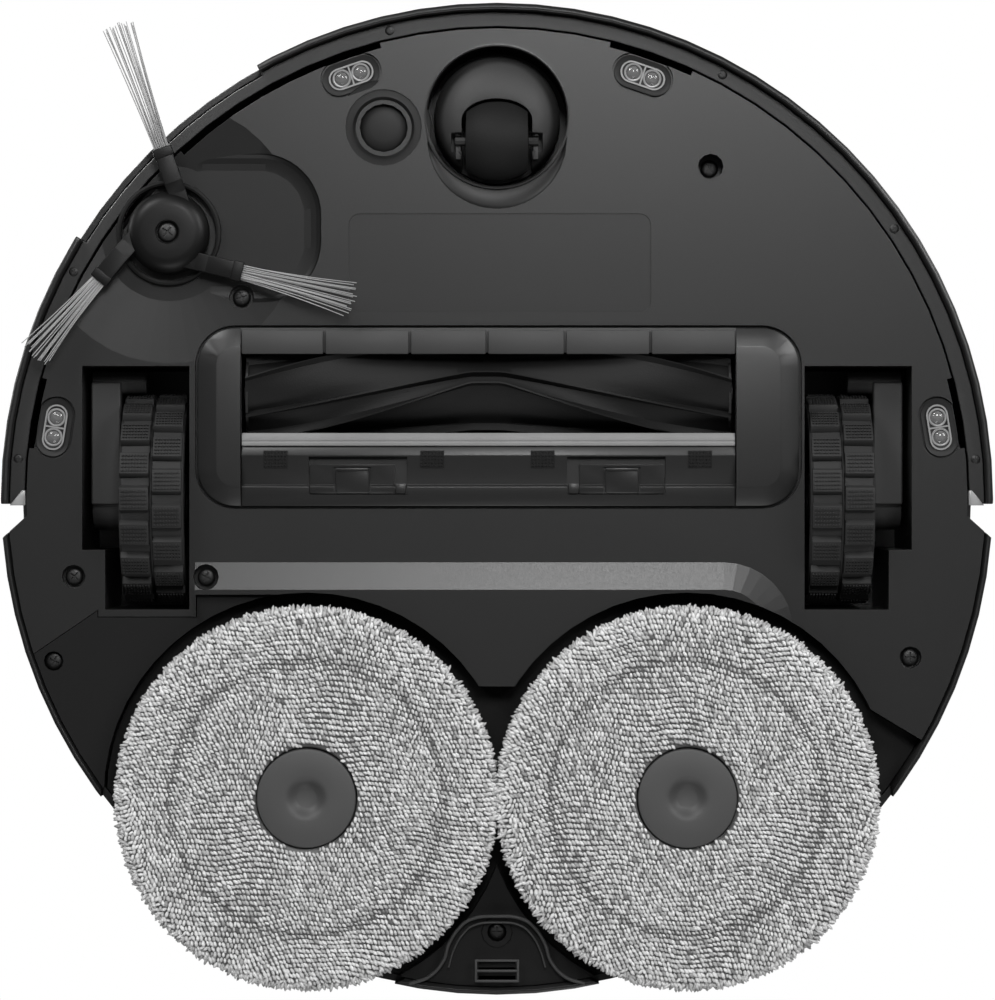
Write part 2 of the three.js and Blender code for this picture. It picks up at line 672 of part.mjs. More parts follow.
function driveArm(side) {
  const inner = wheelOuterFace + runningGap + 0.4;
  const outer = inner + armThickness;
  return join(
    box(...sided(side, inner, outer), armPivotY, 2, wheelRadius - 13.5, wheelRadius + 8.5),
    rod(11, ...sided(side, inner, outer), 0, wheelRadius),
    rod(armPivotRadius, ...sided(side, inner - 9, outer), armPivotY, armPivotHeight),
    rod(axleRadius, ...sided(side, pocket.inner + 4, inner + 1), 0, wheelRadius));
}

function wheelRim(side) {
  const radius = wheelRadius - tyreThickness - fixedGap;
  const hubLength = wheelWidth - 2;
  const [x0, x1] = sided(side, wheelX - hubLength / 2, wheelX + hubLength / 2);
  const dish = side > 0 ? [x0 - 1, x0 + 5] : [x1 - 5, x1 + 1];
  return cut(rod(radius, x0, x1, 0, wheelRadius),
    rod(radius - 4, ...dish, 0, wheelRadius).subtract(
      rod(9, ...dish, 0, wheelRadius)),
    rod(axleRadius + fixedGap, x0 - 1, x1 + 1, 0, wheelRadius));
}

// One row of lugs; the two rows on a tyre are half a lug apart.
function lugRow(x0, x1, phase) {
  const points = [];
  for (let lug = 0; lug < lugCount; lug += 1) {
    const start = phase + (lug * 360) / lugCount;
    for (const [turn, radius] of [[-7, wheelRadius - lugHeight], [-5, wheelRadius],
      [5, wheelRadius], [7, wheelRadius - lugHeight]]) {
      const angle = degrees(start + turn);
      points.push([radius * Math.cos(angle), radius * Math.sin(angle)]);
    }
  }
  const shape = polygon(points);
  const geometry = new THREE.ExtrudeGeometry(shape, { depth: x1 - x0, bevelEnabled: false });
  geometry.rotateY(Math.PI / 2);
  geometry.translate(x0, 0, wheelRadius);
  return toSolid(geometry);
}

function tyre(side) {
  const [x0, x1] = sided(side, wheelX - wheelWidth / 2, wheelX + wheelWidth / 2);
  const middle = (x0 + x1) / 2;
  return cut(join(lugRow(x0, middle - 0.8, 0), lugRow(middle + 0.8, x1, 180 / lugCount),
    rod(wheelRadius - lugHeight, x0 + 1, x1 - 1, 0, wheelRadius)),
  rod(wheelRadius - tyreThickness, x0 - 1, x1 + 1, 0, wheelRadius));
}

// ---- caster ----

const casterWheelY = casterWell.y + casterTrail;

function casterFork() {
  const bottom = underside - 1;
  const dome = turned([[0, bottom], [casterDomeRadius, bottom], [casterDomeRadius, 18],
    [casterDomeRadius - 1.6, 24], [casterDomeRadius - 5, 29], [casterDomeRadius - 10, 33],
    [casterDomeRadius - 16, casterDomeTop - 0.6], [0, casterDomeTop]], 0, casterWell.y);
  const halfSlot = casterWheelWidth / 2 + runningGap;
  const wheelRoom = rod(casterWheelRadius + 1.4, -halfSlot, halfSlot, casterWheelY,
    casterWheelRadius);
  const opening = box(-halfSlot, halfSlot, casterWheelY - 11, 0, 0, casterWheelRadius);
  const belly = turned([[0, 0], [casterDomeRadius - 2, 0], [casterDomeRadius - 4, bottom + 5],
    [casterDomeRadius - 12, bottom + 11], [0, bottom + 12]], 0, casterWell.y);
  const cheeks = join(box(-halfSlot - 4.4, -halfSlot, casterWheelY - 6, casterWheelY + 6, bottom,
    30), box(halfSlot, halfSlot + 4.4, casterWheelY - 6, casterWheelY + 6, bottom, 30))
    .intersect(disc(casterDomeRadius, 0, far, 0, casterWell.y));
  const stem = disc(casterStemRadius, casterDomeTop - 3, casterWell.top, 0, casterWell.y);
  return cut(join(cut(dome, belly), cheeks, stem), wheelRoom, opening,
    rod(casterPinRadius + fixedGap, -far, far, casterWheelY, casterWheelRadius));
}

function casterWheel() {
  const half = casterWheelWidth / 2;
  const geometry = new THREE.LatheGeometry([[0, -half], [casterWheelRadius - casterShoulder, -half],
    [casterWheelRadius, -half + casterShoulder], [casterWheelRadius, half - casterShoulder],
    [casterWheelRadius - casterShoulder, half], [0, half]].map(([r, x]) => new THREE.Vector2(r, x)),
  roundSteps(casterWheelRadius));
  geometry.rotateZ(Math.PI / 2);
  geometry.translate(0, casterWheelY, casterWheelRadius);
  return cut(toSolid(geometry),
    rod(casterPinRadius + fixedGap, -far, far, casterWheelY, casterWheelRadius));
}

const casterAxle = () => rod(casterPinRadius, -casterWheelWidth / 2 - 3.4,
  casterWheelWidth / 2 + 3.4, casterWheelY, casterWheelRadius);

// ---- side brush ----

// A bar from the hub outwards, beside the spindle: start and end are distances from it.
function besideSpindle(angle, start, end, startWidth, endWidth, z0, z1, droop) {
  const geometry = new THREE.BoxGeometry(end - start, 1, z1 - z0, 3, 1, 1);
  const place = geometry.attributes.position;
  for (let i = 0; i < place.count; i += 1) {
    const share = place.getX(i) / (end - start) + 0.5;
    place.setXYZ(i, start + share * (end - start),
      sideArmOffset + place.getY(i) * (startWidth + share * (endWidth - startWidth)),
      (z0 + z1) / 2 + place.getZ(i) - droop * Math.sin((share * Math.PI) / 2));
  }
  geometry.rotateZ(degrees(angle));
  geometry.translate(sideBrush.x, sideBrush.y, 0);
  return toSolid(geometry);
}

function sideBrushHub() {
  const top = sideArmBottom + sideArmThickness;
  const cap = turned([[0, sideArmBottom - 1], [sideHubRadius - 3, sideArmBottom - 1],
    [sideHubRadius - 1, sideArmBottom], [sideHubRadius, sideArmBottom + 2],
    [sideHubRadius, top + 3], [0, top + 3]], sideBrush.x, sideBrush.y);
  const arms = sideBrushAngles.map((angle) => besideSpindle(angle, 4, sideArmEnd, sideArmWidth,
    sideArmWidth, sideArmBottom, top, 0));
  const spindle = disc(3, top, sidePotTop + 4, sideBrush.x, sideBrush.y);
  return cut(join(cap, ...arms, spindle),
    disc(4.5, 0, sideArmBottom + 1.6, sideBrush.x, sideBrush.y),
    disc(1.4, 0, sideArmBottom + 8, sideBrush.x, sideBrush.y));
}

const sideBrushScrew = () => join(
  disc(3.6, sideArmBottom - 0.2, sideArmBottom + 1.3, sideBrush.x, sideBrush.y),
  disc(1.1, sideArmBottom + 1, sideArmBottom + 7.5, sideBrush.x, sideBrush.y));

const bristleTuft = (index) => besideSpindle(sideBrushAngles[index], sideArmEnd + fixedGap,
  tuftLengths[index], tuftRootWidth, tuftTipWidth, sideArmBottom + 0.7,
  sideArmBottom + 0.7 + tuftThickness, tuftDroop);

// ---- mops ----

const mopPlateBottom = padBottom + padThickness + fixedGap;
const carriageBottom = 28;

const mopCloth = (side) => ring(mopHubRadius + fixedGap, padRadius, padBottom,
  padBottom + padThickness, side * mopX, mopY);

const mopPlate = (side) => turned([[0, padBottom + 1.4], [3.5, padBottom + 1.4],
  [7.5, padBottom + 0.4], [mopHubRadius, padBottom + 0.4], [mopHubRadius, mopPlateBottom],
  [mopPlateRadius, mopPlateBottom], [mopPlateRadius, mopPlateBottom + mopPlateThickness],
  [mopShaftRadius + 4, mopPlateBottom + mopPlateThickness],
  [mopShaftRadius, mopPlateBottom + mopPlateThickness + 3],
  [mopShaftRadius, carriageBottom + 10], [0, carriageBottom + 10]], side * mopX, mopY);

function mopCarriage() {
  const beam = box(-mopX - 18, mopX + 18, mopY - 16, mopY + 16, carriageBottom,
    carriageBottom + 6);
  const motors = mopSides.map((side) => ring(mopShaftRadius + 1, 15, carriageBottom,
    carriageBottom + 14, side * mopX, mopY));
  return cut(join(beam, ...motors),
    ...mopSides.map((side) => disc(mopShaftRadius + runningGap, 0, far, side * mopX, mopY)));
}

// ---- what the body holds ----

const dustBin = () => cut(box(-70, 70, -98, -26, chamberTop + 4, deckUnderside - 0.6),
  box(-67, 67, -95, -29, chamberTop + 6, far));
const waterTank = () => cut(box(-80, 80, 82, 130, 53, deckUnderside - 2),
  box(-77.5, 77.5, 84.5, 127.5, 55.5, deckUnderside - 4.5), disc(5, 70, far, 0, 118));
const batteryPack = () => prism(roundedRectangle(-56, 56, battery.front, battery.rear, 5),
  battery.bottom, battery.top);
const mainBoard = () => prism(roundedRectangle(-60, 60, 10, 76, 4), 62, 64);
const suctionFan = () => cut(disc(22, 16, 54, 95, -88), disc(12, 10, 48, 95, -88),
  box(95, 130, -94, -82, 30, 44));
const rollerMotor = () => rod(10.5, 62, 103, 19, plateTop + 12);
const sideBrushMotor = () => disc(8, sidePotTop + 6, 46, sideBrush.x, sideBrush.y);

// ---- finishes ----

const finish = (color, roughness, metalness = 0) =>
  new THREE.MeshStandardMaterial({ color, roughness, metalness });
const chassisPlastic = finish(0x404040, 0.62);
const darkPlastic = finish(0x1c1c1c, 0.6);
const shellPlastic = finish(0x2e2e2e, 0.5);
const glossPlastic = finish(0x101010, 0.12);
const clearPlastic = finish(0xb4b4b4, 0.1);
const blackRubber = finish(0x1e1e1e, 0.8);
const greyRubber = finish(0x8a8a8a, 0.7);
const greyFibre = finish(0x8c8c8c, 0.8);
const mopFabric = finish(0xb0b0b0, 0.95);
const hubPlastic = finish(0x4a4a4a, 0.5);
const steel = finish(0x7c7c7c, 0.3, 1);
const boardGreen = finish(0x1f4d2b, 0.5);
const cellWrap = finish(0x26303a, 0.5);

// ---- assembly ----

const robot = new THREE.Group();

function add(name, solid, material) {
  const mesh = new THREE.Mesh(toGeometry(solid), material);
  mesh.name = name;
  robot.add(mesh);
}

add('chassis_base', chassisBase(), chassisPlastic);
add('mop_bay_cover', mopBayCover(), darkPlastic);
add('side_plate', sidePlate(), darkPlastic);
add('side_shell', sideShell(), shellPlastic);
add('top_deck', topDeck(), shellPlastic);
add('top_lid', topLid(), shellPlastic);
add('power_button', button(-1), glossPlastic);
add('home_button', button(1), glossPlastic);
add('lidar_turret', lidarTurret(), shellPlastic);
add('lidar_rotor', lidarRotor(), glossPlastic);

add('dust_bin', dustBin(), clearPlastic);
add('water_tank', waterTank(), clearPlastic);
add('battery_pack', batteryPack(), cellWrap);
add('main_board', mainBoard(), boardGreen);
add('suction_fan', suctionFan(), darkPlastic);
add('roller_motor', rollerMotor(), steel);
add('side_brush_motor', sideBrushMotor(), steel);

add('bumper', bumper(), shellPlastic);
add('bumper_ring', bumperRing(), shellPlastic);
add('front_window', frontWindow(), glossPlastic);

screws.forEach((screw, index) => add(`chassis_screw_${index + 1}`, screwSolid(screw), steel));
cliffAngles.forEach((angle, index) => add(`cliff_lens_${index + 1}`,
  cliffPlan(angle, 0, underside - 0.1, underside + 1.4), clearPlastic));
add('carpet_sensor_ring', ring(carpetSensor.bore, carpetSensor.radius, underside + 0.1,
  plateTop - 0.6 - fixedGap, carpetSensor.x, carpetSensor.y), chassisPlastic);
add('carpet_sensor_lens', disc(carpetSensor.bore - fixedGap, plateTop + 0.6,
  plateTop + 3.4 - fixedGap, carpetSensor.x, carpetSensor.y), glossPlastic);

add('caster_fork', casterFork(), chassisPlastic);
add('caster_wheel', casterWheel(), blackRubber);
add('caster_axle', casterAxle(), steel);

add('side_brush_hub', sideBrushHub(), chassisPlastic);
add('side_brush_screw', sideBrushScrew(), steel);
sideBrushAngles.forEach((angle, index) => add(`side_brush_bristles_${index + 1}`,
  bristleTuft(index), greyFibre));

add('roller_core', rollerCore(), darkPlastic);
add('roller_blades', rollerBlades(), blackRubber);
add('brush_cover', brushCover(), chassisPlastic);
add('squeegee', squeegee(), greyRubber);
['right', 'left'].forEach((name, index) => add(`cover_latch_${name}`,
  coverLatch(latchPlaces[index]), chassisPlastic));

['right', 'left'].forEach((name, index) => {
  const side = mopSides[index];
  add(`drive_arm_${name}`, driveArm(side), darkPlastic);
  add(`wheel_rim_${name}`, wheelRim(side), darkPlastic);
  add(`tyre_${name}`, tyre(side), blackRubber);
  add(`mop_plate_${name}`, mopPlate(side), hubPlastic);
  add(`mop_cloth_${name}`, mopCloth(side), mopFabric);
  add(`charge_contact_${name}`, chargeContact(side), steel);
});
add('mop_carriage', mopCarriage(), darkPlastic);

export default robot;
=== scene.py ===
import json
import math
import random

import bpy
import numpy as np
from mathutils import Matrix, Vector

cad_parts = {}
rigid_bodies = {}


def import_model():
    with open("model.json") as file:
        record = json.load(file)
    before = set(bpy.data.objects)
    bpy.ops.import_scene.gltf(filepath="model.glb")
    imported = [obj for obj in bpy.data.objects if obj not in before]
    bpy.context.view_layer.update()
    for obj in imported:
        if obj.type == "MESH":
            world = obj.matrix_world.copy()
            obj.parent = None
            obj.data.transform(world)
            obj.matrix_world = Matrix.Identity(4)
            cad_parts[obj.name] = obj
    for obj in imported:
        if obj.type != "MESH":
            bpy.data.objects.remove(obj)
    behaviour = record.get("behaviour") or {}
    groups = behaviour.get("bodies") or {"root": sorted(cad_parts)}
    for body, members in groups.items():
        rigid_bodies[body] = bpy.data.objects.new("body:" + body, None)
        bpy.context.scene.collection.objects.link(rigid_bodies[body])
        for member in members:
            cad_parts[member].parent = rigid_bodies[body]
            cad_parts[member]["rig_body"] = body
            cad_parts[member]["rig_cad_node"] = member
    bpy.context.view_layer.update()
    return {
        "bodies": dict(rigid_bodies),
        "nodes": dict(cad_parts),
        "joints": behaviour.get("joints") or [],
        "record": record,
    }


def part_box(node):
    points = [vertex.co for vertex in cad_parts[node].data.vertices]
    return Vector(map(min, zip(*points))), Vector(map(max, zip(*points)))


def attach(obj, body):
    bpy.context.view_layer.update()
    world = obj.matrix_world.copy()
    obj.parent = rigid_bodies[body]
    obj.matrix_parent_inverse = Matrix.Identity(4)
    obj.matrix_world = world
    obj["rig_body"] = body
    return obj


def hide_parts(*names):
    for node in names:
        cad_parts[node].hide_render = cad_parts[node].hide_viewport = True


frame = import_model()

nodes = frame["nodes"]
mm = 0.001
random.seed(7)


stage = {
    "cameraDistance": 1.5,
    "cameraShift": (0.0002, 0.0004),
    "sensorWidth": 36.0,
    "spanAtUnderside": 0.35247,  # what the long side of the frame takes in
    "undersideHeight": 0.010,
    "floorSize": 40.0,
    "whiteWorld": (1.0, 1.0, 1.0, 1.0),
    "worldLight": 0.10,
    "lightAim": (0, 0, 0.03),
    "sunPower": 2.4,
    "sunSoftness": 40,
    "sunTilt": (14, -18),
}
# each light's place, size, power and spread in degrees
areaLights = {
    "front_sheen": ((0.10, -0.62, -1.40), 0.45, 9, 180),
    "front_left": ((-0.9, -1.2, -0.9), 0.7, 16, 180),
    "front_right": ((1.1, -0.7, -0.9), 0.7, 12, 180),
    "rear_low": ((0.0, 1.3, -0.8), 0.8, 5, 180),
    "top_key": ((-0.9, -0.9, 1.5), 1.3, 7, 180),
    "top_fill": ((1.2, 0.7, 1.1), 1.4, 5, 180),
    "left_strip": ((-1.5, -0.5, 0.35), 0.6, 0.5, 60),
    "right_strip": ((1.4, -0.9, 0.30), 0.6, 0.5, 60),
    "rear_strip": ((0.5, 1.6, 0.45), 0.7, 0.5, 60),
}


def addObject(name, data):
    added = bpy.data.objects.new(name, data)
    bpy.context.scene.collection.objects.link(added)
    return added


cameraData = bpy.data.cameras.new("underside_camera")
cameraData.sensor_width = stage["sensorWidth"]
reach = stage["cameraDistance"] + stage["undersideHeight"]
cameraData.lens = cameraData.sensor_width * reach / stage["spanAtUnderside"]
cameraData.clip_start = 0.01
cameraData.clip_end = 100.0
camera = addObject("underside_camera", cameraData)
camera.location = (*stage["cameraShift"], -stage["cameraDistance"])
camera.rotation_euler = (math.pi, 0, 0)  # looks straight up, with the front at the top
bpy.context.scene.camera = camera


def deselectAll():
    if bpy.context.object and bpy.context.object.mode != "OBJECT":
        bpy.ops.object.mode_set(mode="OBJECT")
    bpy.ops.object.select_all(action="DESELECT")


def makeActive(piece):
    deselectAll()
    piece.select_set(True)
    bpy.context.view_layer.objects.active = piece


def makeFloor():
    # pale from above, see-through from below, so the underside can be looked at through it
    deselectAll()
    bpy.ops.mesh.primitive_plane_add(size=stage["floorSize"], location=(0, 0, -0.0003))
    floor = bpy.context.object
    floor.name = "pale_floor"
    material = bpy.data.materials.new("pale_floor")
    material.use_nodes = True
    nodeTree = material.node_tree
    links = nodeTree.links
    shader = nodeTree.nodes["Principled BSDF"]
    shader.inputs["Base Color"].default_value = (0.86, 0.86, 0.85, 1)
    shader.inputs["Roughness"].default_value = 0.8
    clear = nodeTree.nodes.new("ShaderNodeBsdfTransparent")
    mix = nodeTree.nodes.new("ShaderNodeMixShader")
    side = nodeTree.nodes.new("ShaderNodeNewGeometry")
    links.new(side.outputs["Backfacing"], mix.inputs[0])
    links.new(shader.outputs[0], mix.inputs[1])
    links.new(clear.outputs[0], mix.inputs[2])
    links.new(mix.outputs[0], nodeTree.nodes["Material Output"].inputs["Surface"])
    floor.data.materials.append(material)
    floor.visible_shadow = False
    floor.visible_diffuse = False
    floor.visible_glossy = False
    floor.visible_transmission = False


def areaLight(name, location, size, power, spread):
    data = bpy.data.lights.new(name, "AREA")
    data.shape = "DISK"
    data.size = size
    data.energy = power
    data.spread = math.radians(spread)
    light = addObject(name, data)
    light.location = location
    direction = Vector(stage["lightAim"]) - Vector(location)
    light.rotation_euler = direction.to_track_quat("-Z", "Y").to_euler()
    light.visible_camera = False


def sunLight():
    # even daylight on the floor and the top, out to the horizon
    data = bpy.data.lights.new("sky_light", "SUN")
    data.energy = stage["sunPower"]
    data.angle = math.radians(stage["sunSoftness"])
    light = addObject("sky_light", data)
    tiltX, tiltY = stage["sunTilt"]
    light.rotation_euler = (math.radians(tiltX), math.radians(tiltY), 0)


def makeWorld():
    world = bpy.data.worlds.new("studio")
    bpy.context.scene.world = world
    world.use_nodes = True
    tree = world.node_tree
    background = tree.nodes["Background"]
    background.inputs["Color"].default_value = stage["whiteWorld"]
    background.inputs["Strength"].default_value = stage["worldLight"]
    seen = tree.nodes.new("ShaderNodeBackground")
    seen.inputs["Color"].default_value = stage["whiteWorld"]
    seen.inputs["Strength"].default_value = 1.0
    path = tree.nodes.new("ShaderNodeLightPath")
    mix = tree.nodes.new("ShaderNodeMixShader")
    tree.links.new(path.outputs["Is Camera Ray"], mix.inputs[0])
    tree.links.new(background.outputs[0], mix.inputs[1])
    tree.links.new(seen.outputs[0], mix.inputs[2])
    tree.links.new(mix.outputs[0], tree.nodes["World Output"].inputs["Surface"])


makeFloor()
makeWorld()
for name, settings in areaLights.items():
    areaLight(name, *settings)
sunLight()
bpy.context.scene.view_settings.view_transform = "Standard"
print("stage ready")


def newMaterial(name, colour, roughness, metallic=0.0, specular=0.5):
    material = bpy.data.materials.new(name)
    material.use_nodes = True
    shader = material.node_tree.nodes["Principled BSDF"]
    shader.inputs["Base Color"].default_value = (*colour, 1)
    shader.inputs["Roughness"].default_value = roughness
    shader.inputs["Metallic"].default_value = metallic
    shader.inputs["Specular IOR Level"].default_value = specular
    return material, material.node_tree, shader


def objectCoordinates(tree):
    return tree.nodes.new("ShaderNodeTexCoord").outputs["Object"]


def noise(tree, scale, detail=3.0, source=None):
    node = tree.nodes.new("ShaderNodeTexNoise")
    node.inputs["Scale"].default_value = scale
    node.inputs["Detail"].default_value = detail
    tree.links.new(source or objectCoordinates(tree), node.inputs["Vector"])
    return node.outputs["Fac"]


def mapRange(tree, value, low, high):
    node = tree.nodes.new("ShaderNodeMapRange")
    node.inputs["From Min"].default_value = 0.3
    node.inputs["From Max"].default_value = 0.7
    node.inputs["To Min"].default_value = low
    node.inputs["To Max"].default_value = high
    tree.links.new(value, node.inputs["Value"])
    return node.outputs["Result"]


def addBump(tree, shader, height, strength, distance):
    bump = tree.nodes.new("ShaderNodeBump")
    bump.inputs["Strength"].default_value = strength
    bump.inputs["Distance"].default_value = distance
    tree.links.new(height, bump.inputs["Height"])
    tree.links.new(bump.outputs["Normal"], shader.inputs["Normal"])


def shadeBetween(tree, shader, value, dark, light):
    ramp = tree.nodes.new("ShaderNodeMix")
    ramp.data_type = "RGBA"
    ramp.inputs["A"].default_value = (*dark, 1)
    ramp.inputs["B"].default_value = (*light, 1)
    tree.links.new(value, ramp.inputs["Factor"])
    tree.links.new(ramp.outputs["Result"], shader.inputs["Base Color"])


def grey(value):
    return (value, value, value)


def mouldedPlastic(name, shade, roughness, grain=1400, bump=0.25, spread=0.12, specular=0.5):
    # spark-eroded moulded plastic: a fine grain and faint cloudiness
    material, tree, shader = newMaterial(name, grey(shade), roughness, specular=specular)
    fine = noise(tree, grain, 2.0)
    cloud = noise(tree, 22, 4.0)
    shadeBetween(tree, shader, cloud, grey(shade * (1 - spread)), grey(shade * (1 + spread)))
    tree.links.new(mapRange(tree, fine, roughness - 0.02, roughness + 0.03),
                   shader.inputs["Roughness"])
    addBump(tree, shader, fine, bump, 0.0001)
    return material


def glossPlastic(name, shade, roughness=0.09):
    material, tree, shader = newMaterial(name, grey(shade), roughness)
    smear = noise(tree, 35, 3.0)
    tree.links.new(mapRange(tree, smear, roughness, roughness + 0.08), shader.inputs["Roughness"])
    return material


def rubberFinish(name, shade, roughness=0.68):
    material, tree, shader = newMaterial(name, grey(shade), roughness, specular=0.25)
    fine = noise(tree, 1700, 3.0)
    cloud = noise(tree, 60, 3.0)
    shadeBetween(tree, shader, cloud, grey(shade * 0.85), grey(shade * 1.2))
    addBump(tree, shader, fine, 0.2, 0.0003)
    return material


def steelFinish(name, shade, roughness):
    material, tree, shader = newMaterial(name, grey(shade), roughness, metallic=1.0)
    scratch = noise(tree, 900, 2.0)
    tree.links.new(mapRange(tree, scratch, roughness, roughness + 0.15),
                   shader.inputs["Roughness"])
    return material


def clearFinish(name):
    material, tree, shader = newMaterial(name, grey(0.85), 0.06)
    shader.inputs["Transmission Weight"].default_value = 0.85
    shader.inputs["IOR"].default_value = 1.47
    smear = noise(tree, 40, 2.0)
    tree.links.new(mapRange(tree, smear, 0.04, 0.12), shader.inputs["Roughness"])
    return material


def yarnFinish(name, dark, light):
    # each yarn loop carries its own tone, with painted shade towards its foot and on the backing
    # between loops; fibres run along it
    material, tree, shader = newMaterial(name, grey(light), 0.95, specular=0.2)
    tone = tree.nodes.new("ShaderNodeAttribute")
    tone.attribute_name = "tone"
    shadeBetween(tree, shader, tone.outputs["Fac"], grey(dark), grey(light))
    shader.inputs["Sheen Weight"].default_value = 0.35
    shader.inputs["Sheen Roughness"].default_value = 0.5
    addBump(tree, shader, noise(tree, 5200, 2.0), 0.5, 0.0002)
    return material


combFinish = mouldedPlastic("comb_plastic", 0.03, 0.55, bump=0.07)
forkFinish = mouldedPlastic("fork_plastic", 0.034, 0.6, bump=0.07)
paleLens = mouldedPlastic("pale_lens", 0.32, 0.2, bump=0.05)
# painted highlight: a pale grey plastic that paints the glint on the clear lens rims and outlines
lensRimHighlight = mouldedPlastic("lens_rim_highlight", 0.25, 0.25, bump=0.05)
darkSteel = steelFinish("dark_steel_head", 0.06, 0.42)
hubGloss = mouldedPlastic("hub_gloss", 0.004, 0.42, bump=0.03, specular=0.25)
rollerRubber = rubberFinish("roller_rubber", 0.006, 0.58)
chassisFinish = mouldedPlastic("chassis_plastic", 0.0125, 0.32, bump=0.06)
# dark plastic for the wheel rims, carriage, roller core and fan; also painted shade on the chassis
# rear and round the floor sensors
darkAndShadeFinish = mouldedPlastic("dark_plastic", 0.003, 0.6, bump=0.1)
# painted shade: near-black, less shiny plastic for parts lying in recesses
recessShadeFinish = mouldedPlastic("recess_painted_shade", 0.003, 0.66, bump=0.05, specular=0.26)
# painted shade: a darker, less shiny copy of the chassis plastic for the side brush's hollow and
# the caster's dish
bowlShadeFinish = mouldedPlastic("bowl_painted_shade", 0.010, 0.4, bump=0.05, specular=0.3)
# painted shade: a slightly darker, less shiny copy of the chassis plastic for the label's recess
labelShadeFinish = mouldedPlastic("label_painted_shade", 0.012, 0.33, bump=0.05, specular=0.46)
# a darker, less shiny copy of the chassis plastic for the carpet sensor: partly its own darker
# plastic, partly painted shade in its deep cup
sensorAndShadeFinish = mouldedPlastic("sensor_plastic_and_shade", 0.010, 0.5, bump=0.05, specular=0.3)
coverFinish = mouldedPlastic("cover_plastic", 0.014, 0.36, bump=0.07)
shellFinish = mouldedPlastic("shell_plastic", 0.010, 0.36, bump=0.1)
ringFinish = mouldedPlastic("ring_plastic", 0.014, 0.45, grain=1500, bump=0.3)
glossFinish = glossPlastic("gloss_black", 0.008)
hubFinish = mouldedPlastic("hub_plastic", 0.055, 0.55, bump=0.08)
blackRubber = rubberFinish("black_rubber", 0.008)
treadRubber = rubberFinish("tread_rubber", 0.024, 0.6)
greyRubber = rubberFinish("grey_rubber", 0.22, 0.5)
clearLens = clearFinish("clear_lens")
steel = steelFinish("dark_steel", 0.28, 0.34)
copperGold = steelFinish("contact_steel", 0.55, 0.25)
yarn = yarnFinish("mop_yarn", 0.04, 0.93)
bristleFinish = rubberFinish("bristle_nylon", 0.32, 0.4)
boardFinish = mouldedPlastic("board_green", 0.03, 0.5)
wrapFinish = mouldedPlastic("battery_wrap", 0.03, 0.4)
print("finishes ready")


def finishPiece(piece, body, material, replaced=()):
    piece.data.materials.clear()
    piece.data.materials.append(material)
    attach(piece, body)
    if replaced:
        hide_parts(*replaced)


def bodyOf(node):
    return nodes[node]["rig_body"]


def applyModifier(piece, kind, **values):
    makeActive(piece)
    modifier = piece.modifiers.new(kind.lower(), kind)
    for key, value in values.items():
        setattr(modifier, key, value)
    bpy.ops.object.modifier_apply(modifier=modifier.name)


def copyOfNode(node, name):
    piece = addObject(name, nodes[node].data.copy())
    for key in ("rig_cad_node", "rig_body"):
        if key in piece:
            del piece[key]
    makeActive(piece)
    bpy.ops.object.mode_set(mode="EDIT")
    bpy.ops.mesh.select_all(action="SELECT")
    bpy.ops.mesh.remove_doubles(threshold=0.00002)
    bpy.ops.mesh.dissolve_limited(angle_limit=math.radians(0.6))
    bpy.ops.object.mode_set(mode="OBJECT")
    return piece


def bevelEdges(piece, width, segments=2, limit=32):
    applyModifier(piece, "BEVEL", width=width, segments=segments, limit_method="ANGLE",
                  angle_limit=math.radians(limit), harden_normals=False,
                  use_clamp_overlap=True)


def smooth(piece, angle=30):
    makeActive(piece)
    bpy.ops.object.shade_smooth_by_angle(angle=math.radians(angle))


def keepFlat(piece, smallest=30):
    # the large level faces keep a true flat shade
    edgesOfLarge = set()
    for face in piece.data.polygons:
        if abs(face.normal.z) > 0.9 and face.area > smallest * mm * mm:
            edgesOfLarge.update(face.edge_keys)
    for edge in piece.data.edges:
        if edge.key in edgesOfLarge:
            edge.use_edge_sharp = True


def refine(node, material, width=0.35 * mm, segments=2, limit=32):
    crease = 12 if node == "chassis_base" else 30
    piece = copyOfNode(node, node + "_fine")
    if width:
        bevelEdges(piece, width, segments, limit)
    smooth(piece, crease)
    keepFlat(piece)
    finishPiece(piece, bodyOf(node), material, [node])
    return piece


def settled(name):
    # the piece's place goes into its mesh
    piece = bpy.context.object
    piece.name = name
    bpy.ops.object.transform_apply(location=True, rotation=True, scale=True)
    return piece


def block(name, low, high):
    # a rectangular start between two corners, in millimetres
    deselectAll()
    centre = [(a + b) / 2 * mm for a, b in zip(low, high)]
    size = [(b - a) * mm for a, b in zip(low, high)]
    bpy.ops.mesh.primitive_cube_add(size=1, location=centre, scale=size)
    return settled(name)


def cylinder(name, radius, length, centre, sides=48, axis="Z"):
    deselectAll()
    turn = {"X": (0, math.pi / 2, 0), "Y": (math.pi / 2, 0, 0), "Z": (0, 0, 0)}[axis]
    bpy.ops.mesh.primitive_cylinder_add(vertices=sides, radius=radius * mm, depth=length * mm,
                                        location=[c * mm for c in centre], rotation=turn)
    return settled(name)


def pickEdges(piece, test):
    makeActive(piece)
    bpy.ops.object.mode_set(mode="EDIT")
    bpy.ops.mesh.select_mode(type="EDGE")
    bpy.ops.mesh.select_all(action="DESELECT")
    bpy.ops.object.mode_set(mode="OBJECT")
    points = piece.data.vertices
    for edge in piece.data.edges:
        a, b = (points[i].co / mm for i in edge.vertices)
        edge.select = test(a, b)
    bpy.ops.object.mode_set(mode="EDIT")


